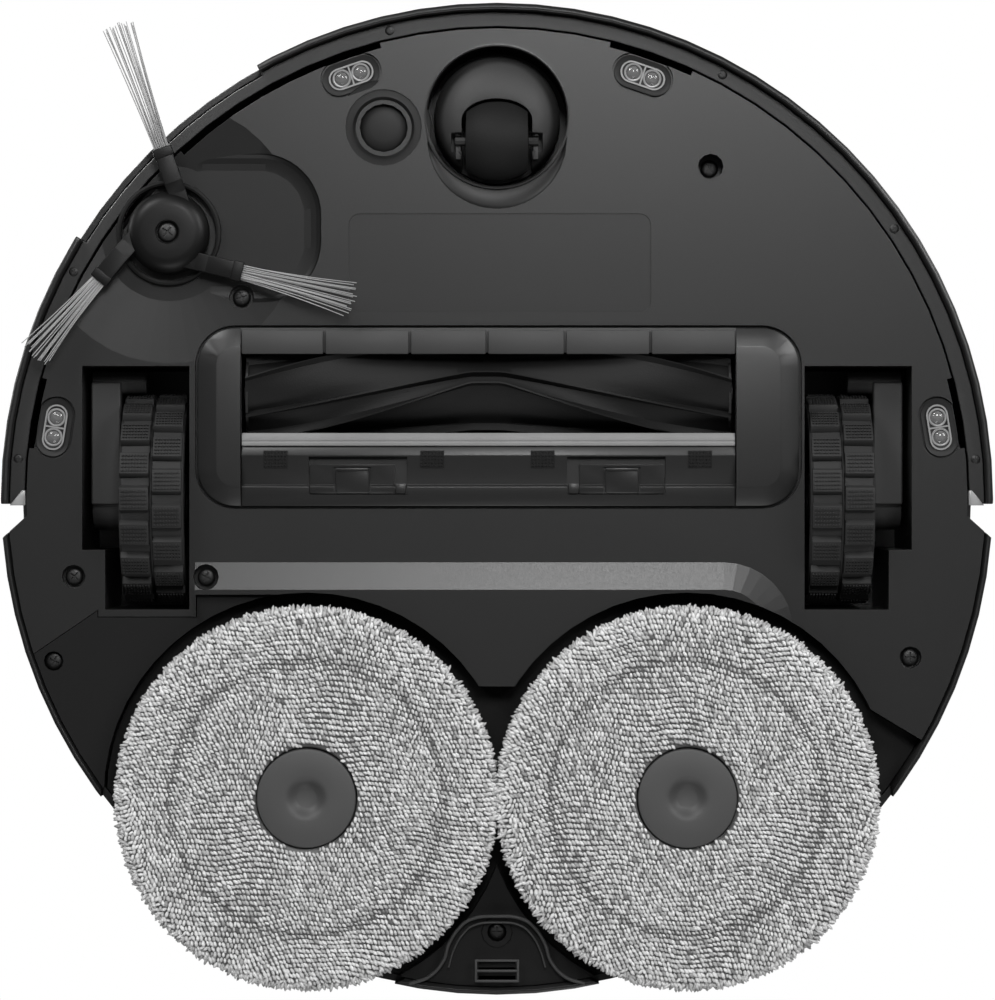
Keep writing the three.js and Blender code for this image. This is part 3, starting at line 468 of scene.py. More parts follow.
def pickFaces(piece, test):
    makeActive(piece)
    bpy.ops.object.mode_set(mode="EDIT")
    bpy.ops.mesh.select_mode(type="FACE")
    bpy.ops.mesh.select_all(action="DESELECT")
    bpy.ops.object.mode_set(mode="OBJECT")
    for face in piece.data.polygons:
        face.select = test(face.center / mm, face.normal)
    bpy.ops.object.mode_set(mode="EDIT")


def backToObject():
    bpy.ops.object.mode_set(mode="OBJECT")


def isUpright(a, b):
    return abs(a.z - b.z) > abs(a.x - b.x) + abs(a.y - b.y)


def roundCorners(piece, corner, segments=8, test=isUpright):
    pickEdges(piece, test)
    bpy.ops.mesh.bevel(offset=corner * mm, segments=segments, affect="EDGES")
    backToObject()


def insetUnderside(piece, border, rise):
    # the face towards the floor is drawn in by a border and lowered
    pickFaces(piece, lambda centre, normal: normal.z < -0.99)
    bpy.ops.mesh.inset(thickness=border * mm, depth=0)
    bpy.ops.transform.translate(value=(0, 0, -rise * mm))
    backToObject()


def cutAcross(piece, places, axis):
    # extra cuts through the whole piece, so that it can be curved
    direction = [1.0 if letter == axis else 0.0 for letter in "XYZ"]
    makeActive(piece)
    bpy.ops.object.mode_set(mode="EDIT")
    for place in places:
        bpy.ops.mesh.select_all(action="SELECT")
        point = [value * place * mm for value in direction]
        bpy.ops.mesh.bisect(plane_co=point, plane_no=direction)
    backToObject()


def carve(piece, cutter):
    applyModifier(piece, "BOOLEAN", object=cutter, operation="DIFFERENCE", solver="EXACT")
    bpy.data.objects.remove(cutter)
    return piece


def joined(name, pieces):
    deselectAll()
    for piece in pieces:
        piece.select_set(True)
    bpy.context.view_layer.objects.active = pieces[0]
    if len(pieces) > 1:
        bpy.ops.object.join()
    pieces[0].name = name
    return pieces[0]


def copyAt(piece, name, matrix):
    twin = piece.copy()
    twin.data = piece.data.copy()
    twin.name = name
    bpy.context.scene.collection.objects.link(twin)
    twin.data.transform(matrix)
    if matrix.determinant() < 0:
        twin.data.flip_normals()
    return twin


def turned(name, profile, centre, steps=64, closed=False):
    # a profile of radius and height, spun about an upright line
    points = [(radius * mm, 0, height * mm) for radius, height in profile]
    pairs = [(i, i + 1) for i in range(len(points) - 1)]
    if closed:
        pairs.append((len(points) - 1, 0))
    mesh = bpy.data.meshes.new(name)
    mesh.from_pydata(points, pairs, [])
    piece = addObject(name, mesh)
    makeActive(piece)
    bpy.ops.object.mode_set(mode="EDIT")
    bpy.ops.mesh.select_all(action="SELECT")
    bpy.ops.mesh.spin(steps=steps, angle=2 * math.pi, center=(0, 0, 0), axis=(0, 0, 1))
    bpy.ops.mesh.select_all(action="SELECT")
    bpy.ops.mesh.remove_doubles(threshold=0.000005)
    bpy.ops.mesh.normals_make_consistent(inside=False)
    backToObject()
    piece.data.transform(Matrix.Translation([c * mm for c in centre]))
    return piece


def shapeVertices(piece, place):
    # every vertex is moved to where the given function says, in millimetres
    for vertex in piece.data.vertices:
        vertex.co = place(vertex.co / mm) * mm


def setHeights(piece, heights, top):
    # vertices below the top take the height given at the nearest cut
    def place(point):
        if point.z < top:
            nearest = min(heights, key=lambda value: abs(value - point.y))
            point.z = heights[nearest]
        return point

    shapeVertices(piece, place)


def middleOf(node):
    lowCorner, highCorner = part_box(node)
    return (Vector(lowCorner) + Vector(highCorner)) / 2


def discard(piece):
    bpy.data.objects.remove(piece)


rigid = {
    "chassis_base": (chassisFinish, "chassis_plastic", 0.5),
    # painted shade: the mop bay cover and the side plate, lying in recesses, take near-black, less
    # shiny plastic
    "mop_bay_cover": (recessShadeFinish, "dark_plastic", 0.5),
    "side_plate": (recessShadeFinish, "dark_plastic", 0.5),
    "side_shell": (shellFinish, "shell_plastic", 0.4),
    "top_deck": (shellFinish, "shell_plastic", 0.4),
    "top_lid": (shellFinish, "shell_plastic", 0.5),
    "lidar_turret": (shellFinish, "shell_plastic", 0.6),
    "bumper": (shellFinish, "shell_plastic", 0.35),
    "bumper_ring": (ringFinish, "shell_plastic", 0.3),
    "front_window": (glossFinish, "gloss_black", 0.2),
    "power_button": (glossFinish, "gloss_black", 0.25),
    "home_button": (glossFinish, "gloss_black", 0.25),
    "lidar_rotor": (glossFinish, "gloss_black", 0.3),
    "drive_arm_right": (forkFinish, "dark_plastic", 0.6),
    "drive_arm_left": (forkFinish, "dark_plastic", 0.6),
    "wheel_rim_right": (darkAndShadeFinish, "dark_plastic", 0.4),
    "wheel_rim_left": (darkAndShadeFinish, "dark_plastic", 0.4),
    "mop_plate_right": (hubFinish, "hub_plastic", 0.4),
    "mop_plate_left": (hubFinish, "hub_plastic", 0.4),
}
refined = {}
for node, (material, slot, width) in rigid.items():
    refined[node] = refine(node, material, width * mm)

chassisShadeZones = {
    "rearFrom": 120.0,
    "recessLow": 11.05,
    "recessHigh": 13.5,
    "facingFloor": -0.4,
    "bowlCentre": (-115.8, -93.8),
    "bowlReach": 70,
    "bowlInner": -61,
    "labelHalf": 56,
    "labelFront": -101,
    "labelRear": -65,
}


def chassisShadeZone(place, normal):
    # painted shade: the rear, the side brush's hollow and the label's recess each take a darker,
    # less shiny copy of the plastic
    zones = chassisShadeZones
    if place.y > zones["rearFrom"]:
        return 1
    if not zones["recessLow"] < place.z < zones["recessHigh"] or normal.z >= zones["facingFloor"]:
        return 0
    fromBowl = (place.xy - Vector(zones["bowlCentre"])).length
    if place.x < zones["bowlInner"] and fromBowl < zones["bowlReach"]:
        return 2
    if abs(place.x) < zones["labelHalf"] and zones["labelFront"] < place.y < zones["labelRear"]:
        return 3
    return 0


chassis = refined["chassis_base"]
cutAcross(chassis, (chassisShadeZones["rearFrom"],), "Y")
# painted shade: darker copies of the plastic go on the rear, the side brush's hollow and the
# label's recess
for material in (darkAndShadeFinish, bowlShadeFinish, labelShadeFinish):
    chassis.data.materials.append(material)
for face in chassis.data.polygons:
    face.material_index = chassisShadeZone(face.center / mm, face.normal)
print("rigid pieces bevelled")

plain = {
    "chassis_screw": steel, "cliff_lens": clearLens, "charge_contact": copperGold,
    "caster_axle": darkSteel, "side_brush_screw": steel, "tyre": treadRubber,
    "side_brush_bristles": bristleFinish, "mop_cloth": yarn, "mop_carriage": darkAndShadeFinish,
    "roller_core": darkAndShadeFinish,
    "dust_bin": clearLens, "water_tank": clearLens, "battery_pack": wrapFinish,
    "main_board": boardFinish, "suction_fan": darkAndShadeFinish, "roller_motor": steel,
    "side_brush_motor": steel,
}
for name, node in nodes.items():
    for prefix, material in plain.items():
        if name.startswith(prefix):
            node.data.materials.clear()
            node.data.materials.append(material)


cover = {
    "outline": (-105.4, 106.5, -60.2, 2.5),
    "corner": 13.2,
    "rim": 10.6,
    "border": 6.6,
    "rise": 1.5,
    "mouthLeft": -90.3,
    "mouthRight": 84.3,
    "combGaps": (-60.8, -30.7, -3.5, 24.0, 54.1),
    "combFront": -59.4,
    "combRear": -51.0,
    # the bar's height at each cut across it
    "barHeights": {-18.6: 8.5, -15.3: 7.7, -5.0: 9.9, -4.3: 8.9, 2.5: 10.1},
    "tabs": (-78.0, -22.8, 16.1, 71.5),
    "latches": (-50.9, 44.0),
}


def coverBulge(point):
    # the end pieces swell towards the floor in the middle of their length
    share = max(0.0, min(1.0, (point.z - cover["rim"] + 0.7) / -0.8))
    along = (point.y + 29.0) / 31.5
    point.z -= 1.4 * share * (1 - along * along)
    return point


def coverEnds():
    left, right, front, rear = cover["outline"]
    plate = block("cover_ends", (left, front, cover["rim"] - 0.6), (right, rear, 11.0))
    roundCorners(plate, cover["corner"], 10)
    insetUnderside(plate, cover["border"], cover["rise"])
    cutAcross(plate, range(-56, 0, 5), "Y")
    shapeVertices(plate, coverBulge)
    bevelEdges(plate, 1.1 * mm, 3, 10)
    middle = block("middle_cutter", (cover["mouthLeft"], front - 5, 0),
                   (cover["mouthRight"], rear + 5, 20))
    carve(plate, middle)
    smooth(plate, 25)
    return plate


def coverBar():
    # the bar behind the mouth: a light land, a long slope and a low rear band
    left, right = cover["mouthLeft"] + 0.35, cover["mouthRight"] - 0.35
    front, *cuts, rear = cover["barHeights"]
    bar = block("cover_bar", (left, front, 8.3), (right, rear, 11.0))
    cutAcross(bar, cuts, "Y")
    setHeights(bar, cover["barHeights"], 10.9)
    bevelEdges(bar, 0.3 * mm, 2, 8)
    for x, side in zip(cover["latches"], (1, -1)):
        low = min(x - 15.4, x + side * 17 - 2.3)
        high = max(x + 15.4, x + side * 17 + 2.3)
        carve(bar, block("latch_pocket", (low, -14.9, 0), (high, -1.5, 10.7)))
    smooth(bar, 30)
    return bar


def barHeight(y):
    # the bar's own slope and step, which the latches carry on
    heights = cover["barHeights"]
    return float(np.interp(y, list(heights), list(heights.values())))


def coverComb():
    # six flat guard plates along the front of the mouth
    edges = (cover["mouthLeft"], *cover["combGaps"], cover["mouthRight"])
    plates = []
    for first, second in zip(edges[:-1], edges[1:]):
        plate = block("comb_plate", (first + 0.45, cover["combFront"], 8.5),
                      (second - 0.45, cover["combRear"], 10.8))
        shapeVertices(plate, lambda point: point + Vector((0, 0, -0.3))
                      if point.z < 9 and point.y > -55 else point)
        bevelEdges(plate, 0.35 * mm, 2)
        plates.append(plate)
    rail = block("comb_rail", (cover["mouthLeft"], -60.3, 9.9), (cover["mouthRight"], -51.6, 11.0))
    bevelEdges(rail, 0.2 * mm, 2)
    comb = joined("cover_comb", [*plates, rail])
    smooth(comb)
    return comb


def coverTab(x):
    # a small gripping pad of diamond studs, lying on the long slope
    def slope(y):
        return 7.42 + max(0.0, y + 15.6) * 0.215

    tab = block("cover_tab", (x - 4.2, -17.0, 7.0), (x + 4.2, -10.9, 9.6))
    cutAcross(tab, (-15.6,), "Y")
    shapeVertices(tab, lambda point: Vector((point.x, point.y, slope(point.y)))
                  if point.z < 8 else point)
    studs = [tab]
    for row in range(5):
        for column in range(7):
            y = -16.3 + row * 1.18
            place = (x - 3.5 + column * 1.16, y, slope(y) - 0.05)
            deselectAll()
            bpy.ops.mesh.primitive_cone_add(vertices=4, radius1=0.6 * mm, radius2=0.15 * mm,
                                            depth=0.5 * mm, location=[v * mm for v in place],
                                            rotation=(math.pi, 0, 0))
            studs.append(settled("stud"))
    return joined("cover_tab", studs)


def squeegeeStrip():
    # a soft wiping strip with a rounded leading edge and a fine groove along it
    left, right = cover["mouthLeft"] + 0.5, cover["mouthRight"] - 0.5
    heights = {-23.2: 8.5, -22.2: 7.9, -20.6: 7.7, -20.2: 8.0, -19.8: 7.7, -18.7: 7.75}
    front, *cuts, rear = heights
    strip = block("squeegee_fine", (left, front, 7.9), (right, rear, 9.6))
    cutAcross(strip, cuts, "Y")
    setHeights(strip, heights, 9)
    bevelEdges(strip, 0.2 * mm, 2)
    smooth(strip, 40)
    finishPiece(strip, bodyOf("squeegee"), greyRubber, ["squeegee"])


squeegeeStrip()
coverParts = [coverEnds(), coverBar(), coverComb()]
for part, finish in zip(coverParts, (coverFinish, coverFinish, combFinish)):
    finishPiece(part, bodyOf("brush_cover"), finish)
for number, x in enumerate(cover["tabs"]):
    tab = coverTab(x)
    tab.name = f"cover_tab_{number + 1}"
    finishPiece(tab, bodyOf("brush_cover"), blackRubber)
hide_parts("brush_cover")


def latchPiece(node, x, side):
    # a latch plate that carries on the bar's slope, with a U-shaped button and a stop block
    plate = block("latch_plate", (x - 15, -12.1, 7), (x + 15, -1.9, 10.6))
    cutAcross(plate, (-5.0, -4.3), "Y")
    shapeVertices(plate, lambda point: Vector((point.x, point.y, barHeight(point.y) - 0.1))
                  if point.z < 8 else point)
    bevelEdges(plate, 0.2 * mm, 2, 20)
    trough = block("button_trough", (x - 6.6, -11.2, 0), (x + 6.6, 0, 9.4))
    carve(plate, trough)
    button = block("latch_button", (x - 6, -10.6, 8.0), (x + 6, -2.0, 10.4))
    shapeVertices(button, lambda point: point + Vector((0, 0, (point.y + 10.6) * 0.13))
                  if point.z < 9 else point)
    roundCorners(button, 0.9, 3)
    lip = block("latch_lip", (x - 5.6, -10.9, 7.5), (x + 5.6, -9.9, 8.6))
    stopX = x + side * 17
    stopBlock = block("latch_stop", (stopX - 1.8, -5.4, 8.7), (stopX + 1.8, -1.9, 10.4))
    tongue = block("latch_tongue", (stopX - side * 3 - 2, -4.4, 9.6),
                   (stopX - side * 3 + 2, -2.4, 10.5))
    for part, width in ((button, 0.35), (lip, 0.25), (stopBlock, 0.3), (tongue, 0.2)):
        bevelEdges(part, width * mm, 2)
    latch = joined(node + "_fine", [plate, button, lip, stopBlock, tongue])
    smooth(latch)
    finishPiece(latch, bodyOf(node), coverFinish, [node])


latchPiece("cover_latch_right", cover["latches"][0], 1)
latchPiece("cover_latch_left", cover["latches"][1], -1)
print("brush cover made")


roller = {
    "y": -37.3,
    "z": 21.5,
    "left": -88.5,
    "right": 82.5,
    "apex": -3.7,
    "flat": 5.6,
    "tallSlope": 1.07,
    "lowSlope": 0.80,
    "stations": 90,
    # angle, radius and how much of the low rib's slope each profile point takes
    "profile": ((-22, 12.0, 0.8), (-19.6, 12.4, 1.0), (-19.0, 15.1, 1.0), (-16.8, 15.2, 1.0),
                (-14.5, 13.0, 0.8), (-6, 13.2, 0.3), (-1.6, 14.2, 0.0), (-0.9, 17.7, 0.0),
                (0.9, 17.8, 0.0), (2.6, 15.8, 0.0), (14, 14.4, 0.1), (34, 13.4, 0.3),
                (52, 12.4, 0.6)),
    "startAngle": -12,
    "vanes": 4,
}


def makeRoller():
    # a soft sleeve of swept vanes: a grid wrapped round the axis, each station turned further
    points = [(angle + vane * 360 / roller["vanes"], radius, low)
              for vane in range(roller["vanes"]) for angle, radius, low in roller["profile"]]
    columns = len(points)
    deselectAll()
    bpy.ops.mesh.primitive_grid_add(x_subdivisions=roller["stations"], y_subdivisions=columns,
                                    size=1)
    sleeve = settled("roller_sleeve")
    length = roller["right"] - roller["left"]

    def place(point):
        along = point.x * mm + 0.5
        around = round((point.y * mm + 0.5) * columns) % columns
        angle, radius, low = points[around]
        x = roller["left"] + along * length
        beyond = abs(x - roller["apex"]) - roller["flat"]
        away = (beyond + math.hypot(beyond, 0.8)) / 2
        slope = roller["tallSlope"] + low * (roller["lowSlope"] - roller["tallSlope"])
        turn = math.radians(angle + roller["startAngle"] + slope * away)
        return Vector((x, roller["y"] + radius * math.sin(turn),
                       roller["z"] - radius * math.cos(turn)))

    shapeVertices(sleeve, place)
    makeActive(sleeve)
    bpy.ops.object.mode_set(mode="EDIT")
    bpy.ops.mesh.select_all(action="SELECT")
    bpy.ops.mesh.remove_doubles(threshold=0.000005)
    bpy.ops.mesh.select_all(action="DESELECT")
    bpy.ops.mesh.select_non_manifold()
    bpy.ops.mesh.fill_holes(sides=0)
    bpy.ops.mesh.select_all(action="SELECT")
    bpy.ops.mesh.normals_make_consistent(inside=False)
    backToObject()
    smooth(sleeve, 38)
    finishPiece(sleeve, bodyOf("roller_blades"), rollerRubber, ["roller_blades"])


makeRoller()
print("roller made")


tyre = {
    "width": 22.6,
    "innerRadius": 28.5,
    "radius": 37.5,
    "treadDepth": 2.6,
    "lugs": 18,
    "lugWidth": 10.3,
    "lugLength": 7.9,
    "rowOffset": 5.75,
    "studRows": 5,
    "studColumns": 9,
}


def lugTemplate():
    # one tread lug with rows of small studs, made at the bottom of a wheel at the origin
    radius = tyre["radius"]
    half = tyre["lugLength"] / 2
    body = block("lug", (-tyre["lugWidth"] / 2, -half, -radius + 0.55),
                 (tyre["lugWidth"] / 2, half, -radius + tyre["treadDepth"] + 0.6))
    shapeVertices(body, lambda point: Vector((point.x, point.y * (1.0 if point.z < -radius + 1
                                                                  else 1.22), point.z)))
    bevelEdges(body, 0.35 * mm, 2)
    across = (tyre["lugWidth"] - 0.9) / tyre["studColumns"]
    along = (tyre["lugLength"] - 0.9) / tyre["studRows"]
    studs = [body]
    for row in range(tyre["studRows"]):
        for column in range(tyre["studColumns"]):
            x = (column - (tyre["studColumns"] - 1) / 2) * across
            y = (row - (tyre["studRows"] - 1) / 2) * along
            stud = block("stud", (x - across * 0.25, y - along * 0.24, -radius),
                         (x + across * 0.25, y + along * 0.24, -radius + 0.8))
            studs.append(stud)
    return joined("lug_template", studs)


def makeTyre(node, side, template):
    rim = tyre["innerRadius"]
    inner = tyre["radius"] - tyre["treadDepth"]
    half = tyre["width"] / 2
    base = turned("tyre_base", [(rim, -half), (inner - 1.2, -half), (inner - 0.2, -half + 1),
                                (inner, -0.6), (inner - 0.9, -0.3), (inner - 0.9, 0.3),
                                (inner, 0.6), (inner - 0.2, half - 1), (inner - 1.2, half),
                                (rim, half)], (0, 0, 0), 96, closed=True)
    base.data.transform(Matrix.Rotation(math.pi / 2, 4, "Y"))
    parts = [base]
    for row in (-1, 1):
        for number in range(tyre["lugs"]):
            share = (number + (0.5 if row == side else 0.0)) / tyre["lugs"]
            matrix = (Matrix.Translation((row * tyre["rowOffset"] * mm, 0, 0))
                      @ Matrix.Rotation(2 * math.pi * share, 4, "X"))
            parts.append(copyAt(template, "lug", matrix))
    piece = joined(node + "_fine", parts)
    piece.data.transform(Matrix.Translation(middleOf(node)))
    smooth(piece, 32)
    finishPiece(piece, bodyOf(node), treadRubber, [node])


lugShape = lugTemplate()
makeTyre("tyre_right", 1, lugShape)
makeTyre("tyre_left", -1, lugShape)
discard(lugShape)
print("tyres made")


screwHead = {"radius": 2.9, "height": 1.3, "slotHalf": 0.28, "slotReach": 1.75, "slotDepth": 0.75}


def screwTemplate():
    # a low dome with a cross slot
    radius, height = screwHead["radius"], screwHead["height"]
    head = turned("screw_template", [(0, 0), (1.2, 0), (2.1, 0.12), (2.6, 0.4), (radius, 0.8),
                                     (radius, height), (0, height)], (0, 0, 0), 32)
    half, reach = screwHead["slotHalf"], screwHead["slotReach"]
    for x, y in ((reach, half), (half, reach)):
        carve(head, block("slot_cutter", (-x, -y, -1), (x, y, screwHead["slotDepth"])))
    smooth(head)
    return head


screwShape = screwTemplate()


def placeScrew(name, x, y, z, body, scale=1.0, turn=0.0, replaced=()):
    matrix = (Matrix.Translation((x * mm, y * mm, z * mm)) @ Matrix.Rotation(turn, 4, "Z")
              @ Matrix.Scale(scale, 4))
    screw = copyAt(screwShape, name, matrix)
    finishPiece(screw, body, darkSteel, replaced)
    return screw


for name in sorted(nodes):
    if name.startswith("chassis_screw") or name == "side_brush_screw":
        lowCorner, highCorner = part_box(name)
        middle = middleOf(name) / mm
        scale = (highCorner[0] - lowCorner[0]) / mm / (2 * screwHead["radius"])
        placeScrew(name + "_head", middle.x, middle.y, lowCorner[2] / mm, bodyOf(name),
                   scale, middle.x * 0.7, [name])

flangeScrews = {
    "radius": 169.8,
    "angles": (-85.2, -61.8, -12.9, 28.0, 55.8, 85.3),
    "z": 13.9,
    "scale": 0.62,
}
for number, angle in enumerate(flangeScrews["angles"]):
    turn = math.radians(angle)
    x = flangeScrews["radius"] * math.sin(turn)
    y = -flangeScrews["radius"] * math.cos(turn)
    placeScrew(f"flange_screw_{number + 1}", x, y, flangeScrews["z"], "bumper",
               flangeScrews["scale"], turn)
discard(screwShape)
print("screws made")


sideBrush = {
    "x": -115.8,
    "y": -93.8,
    "angles": (251.0, 130.2, 13.5),
    "lengths": (75.1, 64.4, 70.3),
    "offset": 7.6,
    "armEnd": 28.8,
    "strands": 21,
    "strandWidth": 0.5,
    "rootWidth": 5.0,
    "tipWidth": 11.8,
    "rootHeight": 7.2,
    "droop": 5.2,
}


def brushHub():
    centre = (sideBrush["x"], sideBrush["y"], 0)
    cap = turned("side_brush_cap", [(3.9, 6.9), (3.9, 5.0), (4.3, 4.6), (9.2, 4.5), (11.2, 4.9),
                                    (13.0, 6.0), (14.1, 7.6), (14.5, 9.6), (14.5, 11.4),
                                    (3.9, 11.4)], centre, 72, closed=True)
    seat = turned("screw_seat", [(0, 6.7), (4.2, 6.7), (4.2, 8.2), (0, 8.2)], centre, 48)
    parts = [cap, seat]
    for angle in sideBrush["angles"]:
        arm = block("arm", (6, -3.2, 5.5), (sideBrush["armEnd"], 3.2, 8.7))
        cutAcross(arm, (12, 16), "X")
        shapeVertices(arm, lambda point: Vector((point.x, point.y, point.z
                                                 + (0.9 if point.x < 13 and point.z < 7 else 0))))
        roundCorners(arm, 0.5, 2)
        bevelEdges(arm, 0.45 * mm, 3)
        collar = block("arm_collar", (sideBrush["armEnd"] - 3.6, -3.5, 5.2),
                       (sideBrush["armEnd"], 3.5, 8.9))
        bevelEdges(collar, 0.4 * mm, 3)
        for part in (arm, collar):
            part.data.transform(Matrix.Translation((centre[0] * mm, centre[1] * mm, 0))
                                @ Matrix.Rotation(math.radians(angle), 4, "Z")
                                @ Matrix.Translation((0, sideBrush["offset"] * mm, 0)))
        parts += [arm, collar]
    collar = turned("pot_collar", [(16.7, 12.0), (16.9, 11.0), (17.6, 10.7), (18.3, 11.0),
                                   (18.5, 12.0), (18.5, 13.8), (16.7, 13.8)], centre, 72,
                    closed=True)
    smooth(collar, 40)
    finishPiece(collar, "body", blackRubber)
    hub = joined("side_brush_hub_fine", parts)
    smooth(hub, 28)
    finishPiece(hub, bodyOf("side_brush_hub"), hubGloss, ["side_brush_hub"])


def strand(start, bend, end, width):
    # one round nylon strand, thinner at its free end, along a gentle curve
    deselectAll()
    sides, rings = 6, 7
    bpy.ops.mesh.primitive_cylinder_add(vertices=sides, radius=1, depth=1, end_fill_type="NGON")
    piece = bpy.context.object
    bpy.ops.object.mode_set(mode="EDIT")
    for ring in range(1, rings):
        bpy.ops.mesh.select_all(action="SELECT")
        bpy.ops.mesh.bisect(plane_co=(0, 0, ring / rings - 0.5), plane_no=(0, 0, 1))
    backToObject()
    heading = (end - start).normalized()
    across = heading.cross(Vector((0, 0, 1))).normalized()
    up = across.cross(heading)
    for vertex in piece.data.vertices:
        share = vertex.co.z + 0.5
        middle = (start * (1 - share) ** 2 + bend * 2 * share * (1 - share) + end * share ** 2)
        thick = width / 2 * (1 - 0.35 * share)
        vertex.co = (middle + across * vertex.co.x * thick + up * vertex.co.y * thick) * mm
    return piece


def makeTufts():
    for number, angle in enumerate(sideBrush["angles"]):
        node = f"side_brush_bristles_{number + 1}"
        matrix = (Matrix.Translation((sideBrush["x"], sideBrush["y"], 0))
                  @ Matrix.Rotation(math.radians(angle), 4, "Z")
                  @ Matrix.Translation((0, sideBrush["offset"], 0)))
        strands = []
        for index in range(sideBrush["strands"]):
            share = (index + 0.5) / sideBrush["strands"] * 2 - 1
            layer = (index % 3 - 1) * 0.42
            clump = math.sin(index * 1.55 + number) * 1.1
            tipSide = (share * sideBrush["tipWidth"] / 2 + clump * 0.7
                       + random.uniform(-0.3, 0.3))
            length = (sideBrush["lengths"][number] - abs(share) * 1.2
                      - random.uniform(0, 2.4))
            start = Vector((sideBrush["armEnd"] - 1.5, share * sideBrush["rootWidth"] / 2,
                            sideBrush["rootHeight"] + layer))
            end = Vector((length, tipSide, sideBrush["rootHeight"] - sideBrush["droop"]
                          + layer * 1.4 + random.uniform(-0.2, 0.2)))
            bend = (start + end) / 2 + Vector((0, -share * 0.9 + random.uniform(-0.3, 0.3), -1.4))
            strands.append(strand(matrix @ start, matrix @ bend, matrix @ end,
                                  sideBrush["strandWidth"] * random.uniform(0.85, 1.15)))
        tuft = joined(node + "_strands", strands)
        smooth(tuft, 60)
        finishPiece(tuft, bodyOf(node), bristleFinish, [node])


brushHub()
makeTufts()
print("side brush made")


caster = {
    "y": -135.0,
    "slotHalf": 12.5,
    "archFoot": -133.8,
    "archRise": 7.4,
    "notchFront": -129.4,
    "notchRear": -122.8,
    "notchReach": 16.2,
    "cheekInner": 12.7,
    "cheekOuter": 14.6,
    "cheekFront": -131,
    "cheekRear": -120,
    "rimInner": 24.8,
    "dishY": -127.0,
    "dishRadius": 24.6,
    "wheelHalf": 11.3,
    "wheelRadius": 14.0,
    "wheelY": -126.4,
    "crown": 3.6,
}


def makeFork():
    # a smooth dome with an arched slot for the wheel, and two cheeks that carry the axle
    half = caster["slotHalf"]
    foot = caster["archFoot"]
    dome = turned("caster_dome", [(0, 9.8), (6, 9.9), (11, 10.6), (15, 12.0), (18.5, 14.4),
                                  (21, 18.0), (22.3, 22.5), (22.6, 36), (0, 36)],
                  (0, caster["y"], 0), 96)
    arch = cylinder("arch_cutter", half, 40, (0, foot, 10), 64)
    shapeVertices(arch, lambda point: Vector((point.x, foot + (point.y - foot)
                                              * caster["archRise"] / half, point.z)))
    carve(dome, arch)
    carve(dome, block("slot_cutter", (-half, foot, -10), (half, -100, 30)))
    for side in (-1, 1):
        low, high = sorted((side * (half - 1), side * caster["notchReach"]))
        carve(dome, block("notch_cutter", (low, caster["notchFront"], 0),
                          (high, caster["notchRear"], 20)))
    bevelEdges(dome, 0.3 * mm, 2)
    parts = [dome]
    for side in (-1, 1):
        low, high = sorted((side * caster["cheekInner"], side * caster["cheekOuter"]))
        cheek = block("fork_cheek", (low, caster["cheekFront"], 14.4),
                      (high, caster["cheekRear"], 34))
        carve(cheek, block("axle_notch", (low - 1, -128.2, 0), (high + 1, -124.6, 16.5)))
        bevelEdges(cheek, 0.3 * mm, 2)
        parts.append(cheek)
    fork = joined("caster_fork_fine", parts)
    smooth(fork, 40)
    finishPiece(fork, bodyOf("caster_fork"), forkFinish, ["caster_fork"])


def casterSurround():
    # a thin bright edge round the well, and the dished crescent behind it, whose darker copy of
    # the plastic paints its shade
    inner = caster["rimInner"]
    rim = turned("caster_well_rim", [(inner, 11.2), (inner + 0.4, 10.9), (inner + 0.9, 10.95),
                                     (inner + 1.1, 13.0), (inner, 13.0)],
                 (0, caster["y"], 0), 128, closed=True)
    smooth(rim, 40)
    finishPiece(rim, "body", coverFinish)
    reach = caster["dishRadius"]
    dish = turned("caster_dish", [(0, 12.1), (8, 12.1), (reach - 1.2, 12.1), (reach, 11.1),
                                  (reach, 12.8), (0, 12.8)], (0, caster["dishY"], 0), 96)
    carve(dish, cylinder("well_cutter", inner + 1.0, 20, (0, caster["y"], 10), 96))
    smooth(dish, 40)
    # painted shade: the dish takes the darker, less shiny bowl copy of the plastic
    finishPiece(dish, "body", bowlShadeFinish)


def crownedWheel():
    # a barrel-shaped rubber wheel, fullest at its middle
    half = caster["wheelHalf"]
    radius = caster["wheelRadius"]
    profile = [(0, -half)]
    for step in range(-6, 7):
        share = step / 6
        profile.append((radius - caster["crown"] * abs(share) ** 2.4, share * (half - 0.5)))
    profile.append((0, half))
    wheel = turned("caster_wheel_fine", profile, (0, 0, 0), 96)
    wheel.data.transform(Matrix.Translation((0, caster["wheelY"] * mm, radius * mm))
                         @ Matrix.Rotation(math.pi / 2, 4, "Y"))
    smooth(wheel, 50)
    finishPiece(wheel, bodyOf("caster_wheel"), blackRubber, ["caster_wheel"])


casterSurround()
crownedWheel()
makeFork()
print("caster made")


pad = {
    "centres": {"mop_cloth_right": (-66.8, 105.0), "mop_cloth_left": (66.8, 105.0)},
    "hubCut": 17.6,
    "holeRadius": 17.9,
    "radius": 67.0,
    "faceHeight": 1.15,
    "backHeight": 6.1,
    "edgeRound": 5.0,
    "rowStep": 1.72,
    "loopStep": 1.38,
    "loopSize": (1.12, 0.64, 0.9),
    "loopLean": 57.0,
    "seamRadius": 48.0,
    "fringeRows": 3,
    "fringeStep": 1.25,
}


def mopHub(node, name):
    # the hub's flat face with a round finger dimple
    middle = middleOf(node) / mm
    face = turned(name, [(0, 3.6), (3.3, 3.6), (3.9, 3.4), (5.4, 2.1), (6.6, 1.1), (7.3, 0.85),
                         (8.2, 0.75), (16.4, 0.75), (17.1, 1.0), (17.4, 1.6), (17.4, 4.6),
                         (0, 4.6)], (middle.x, middle.y, 0), 96)
    smooth(face, 40)
    return face


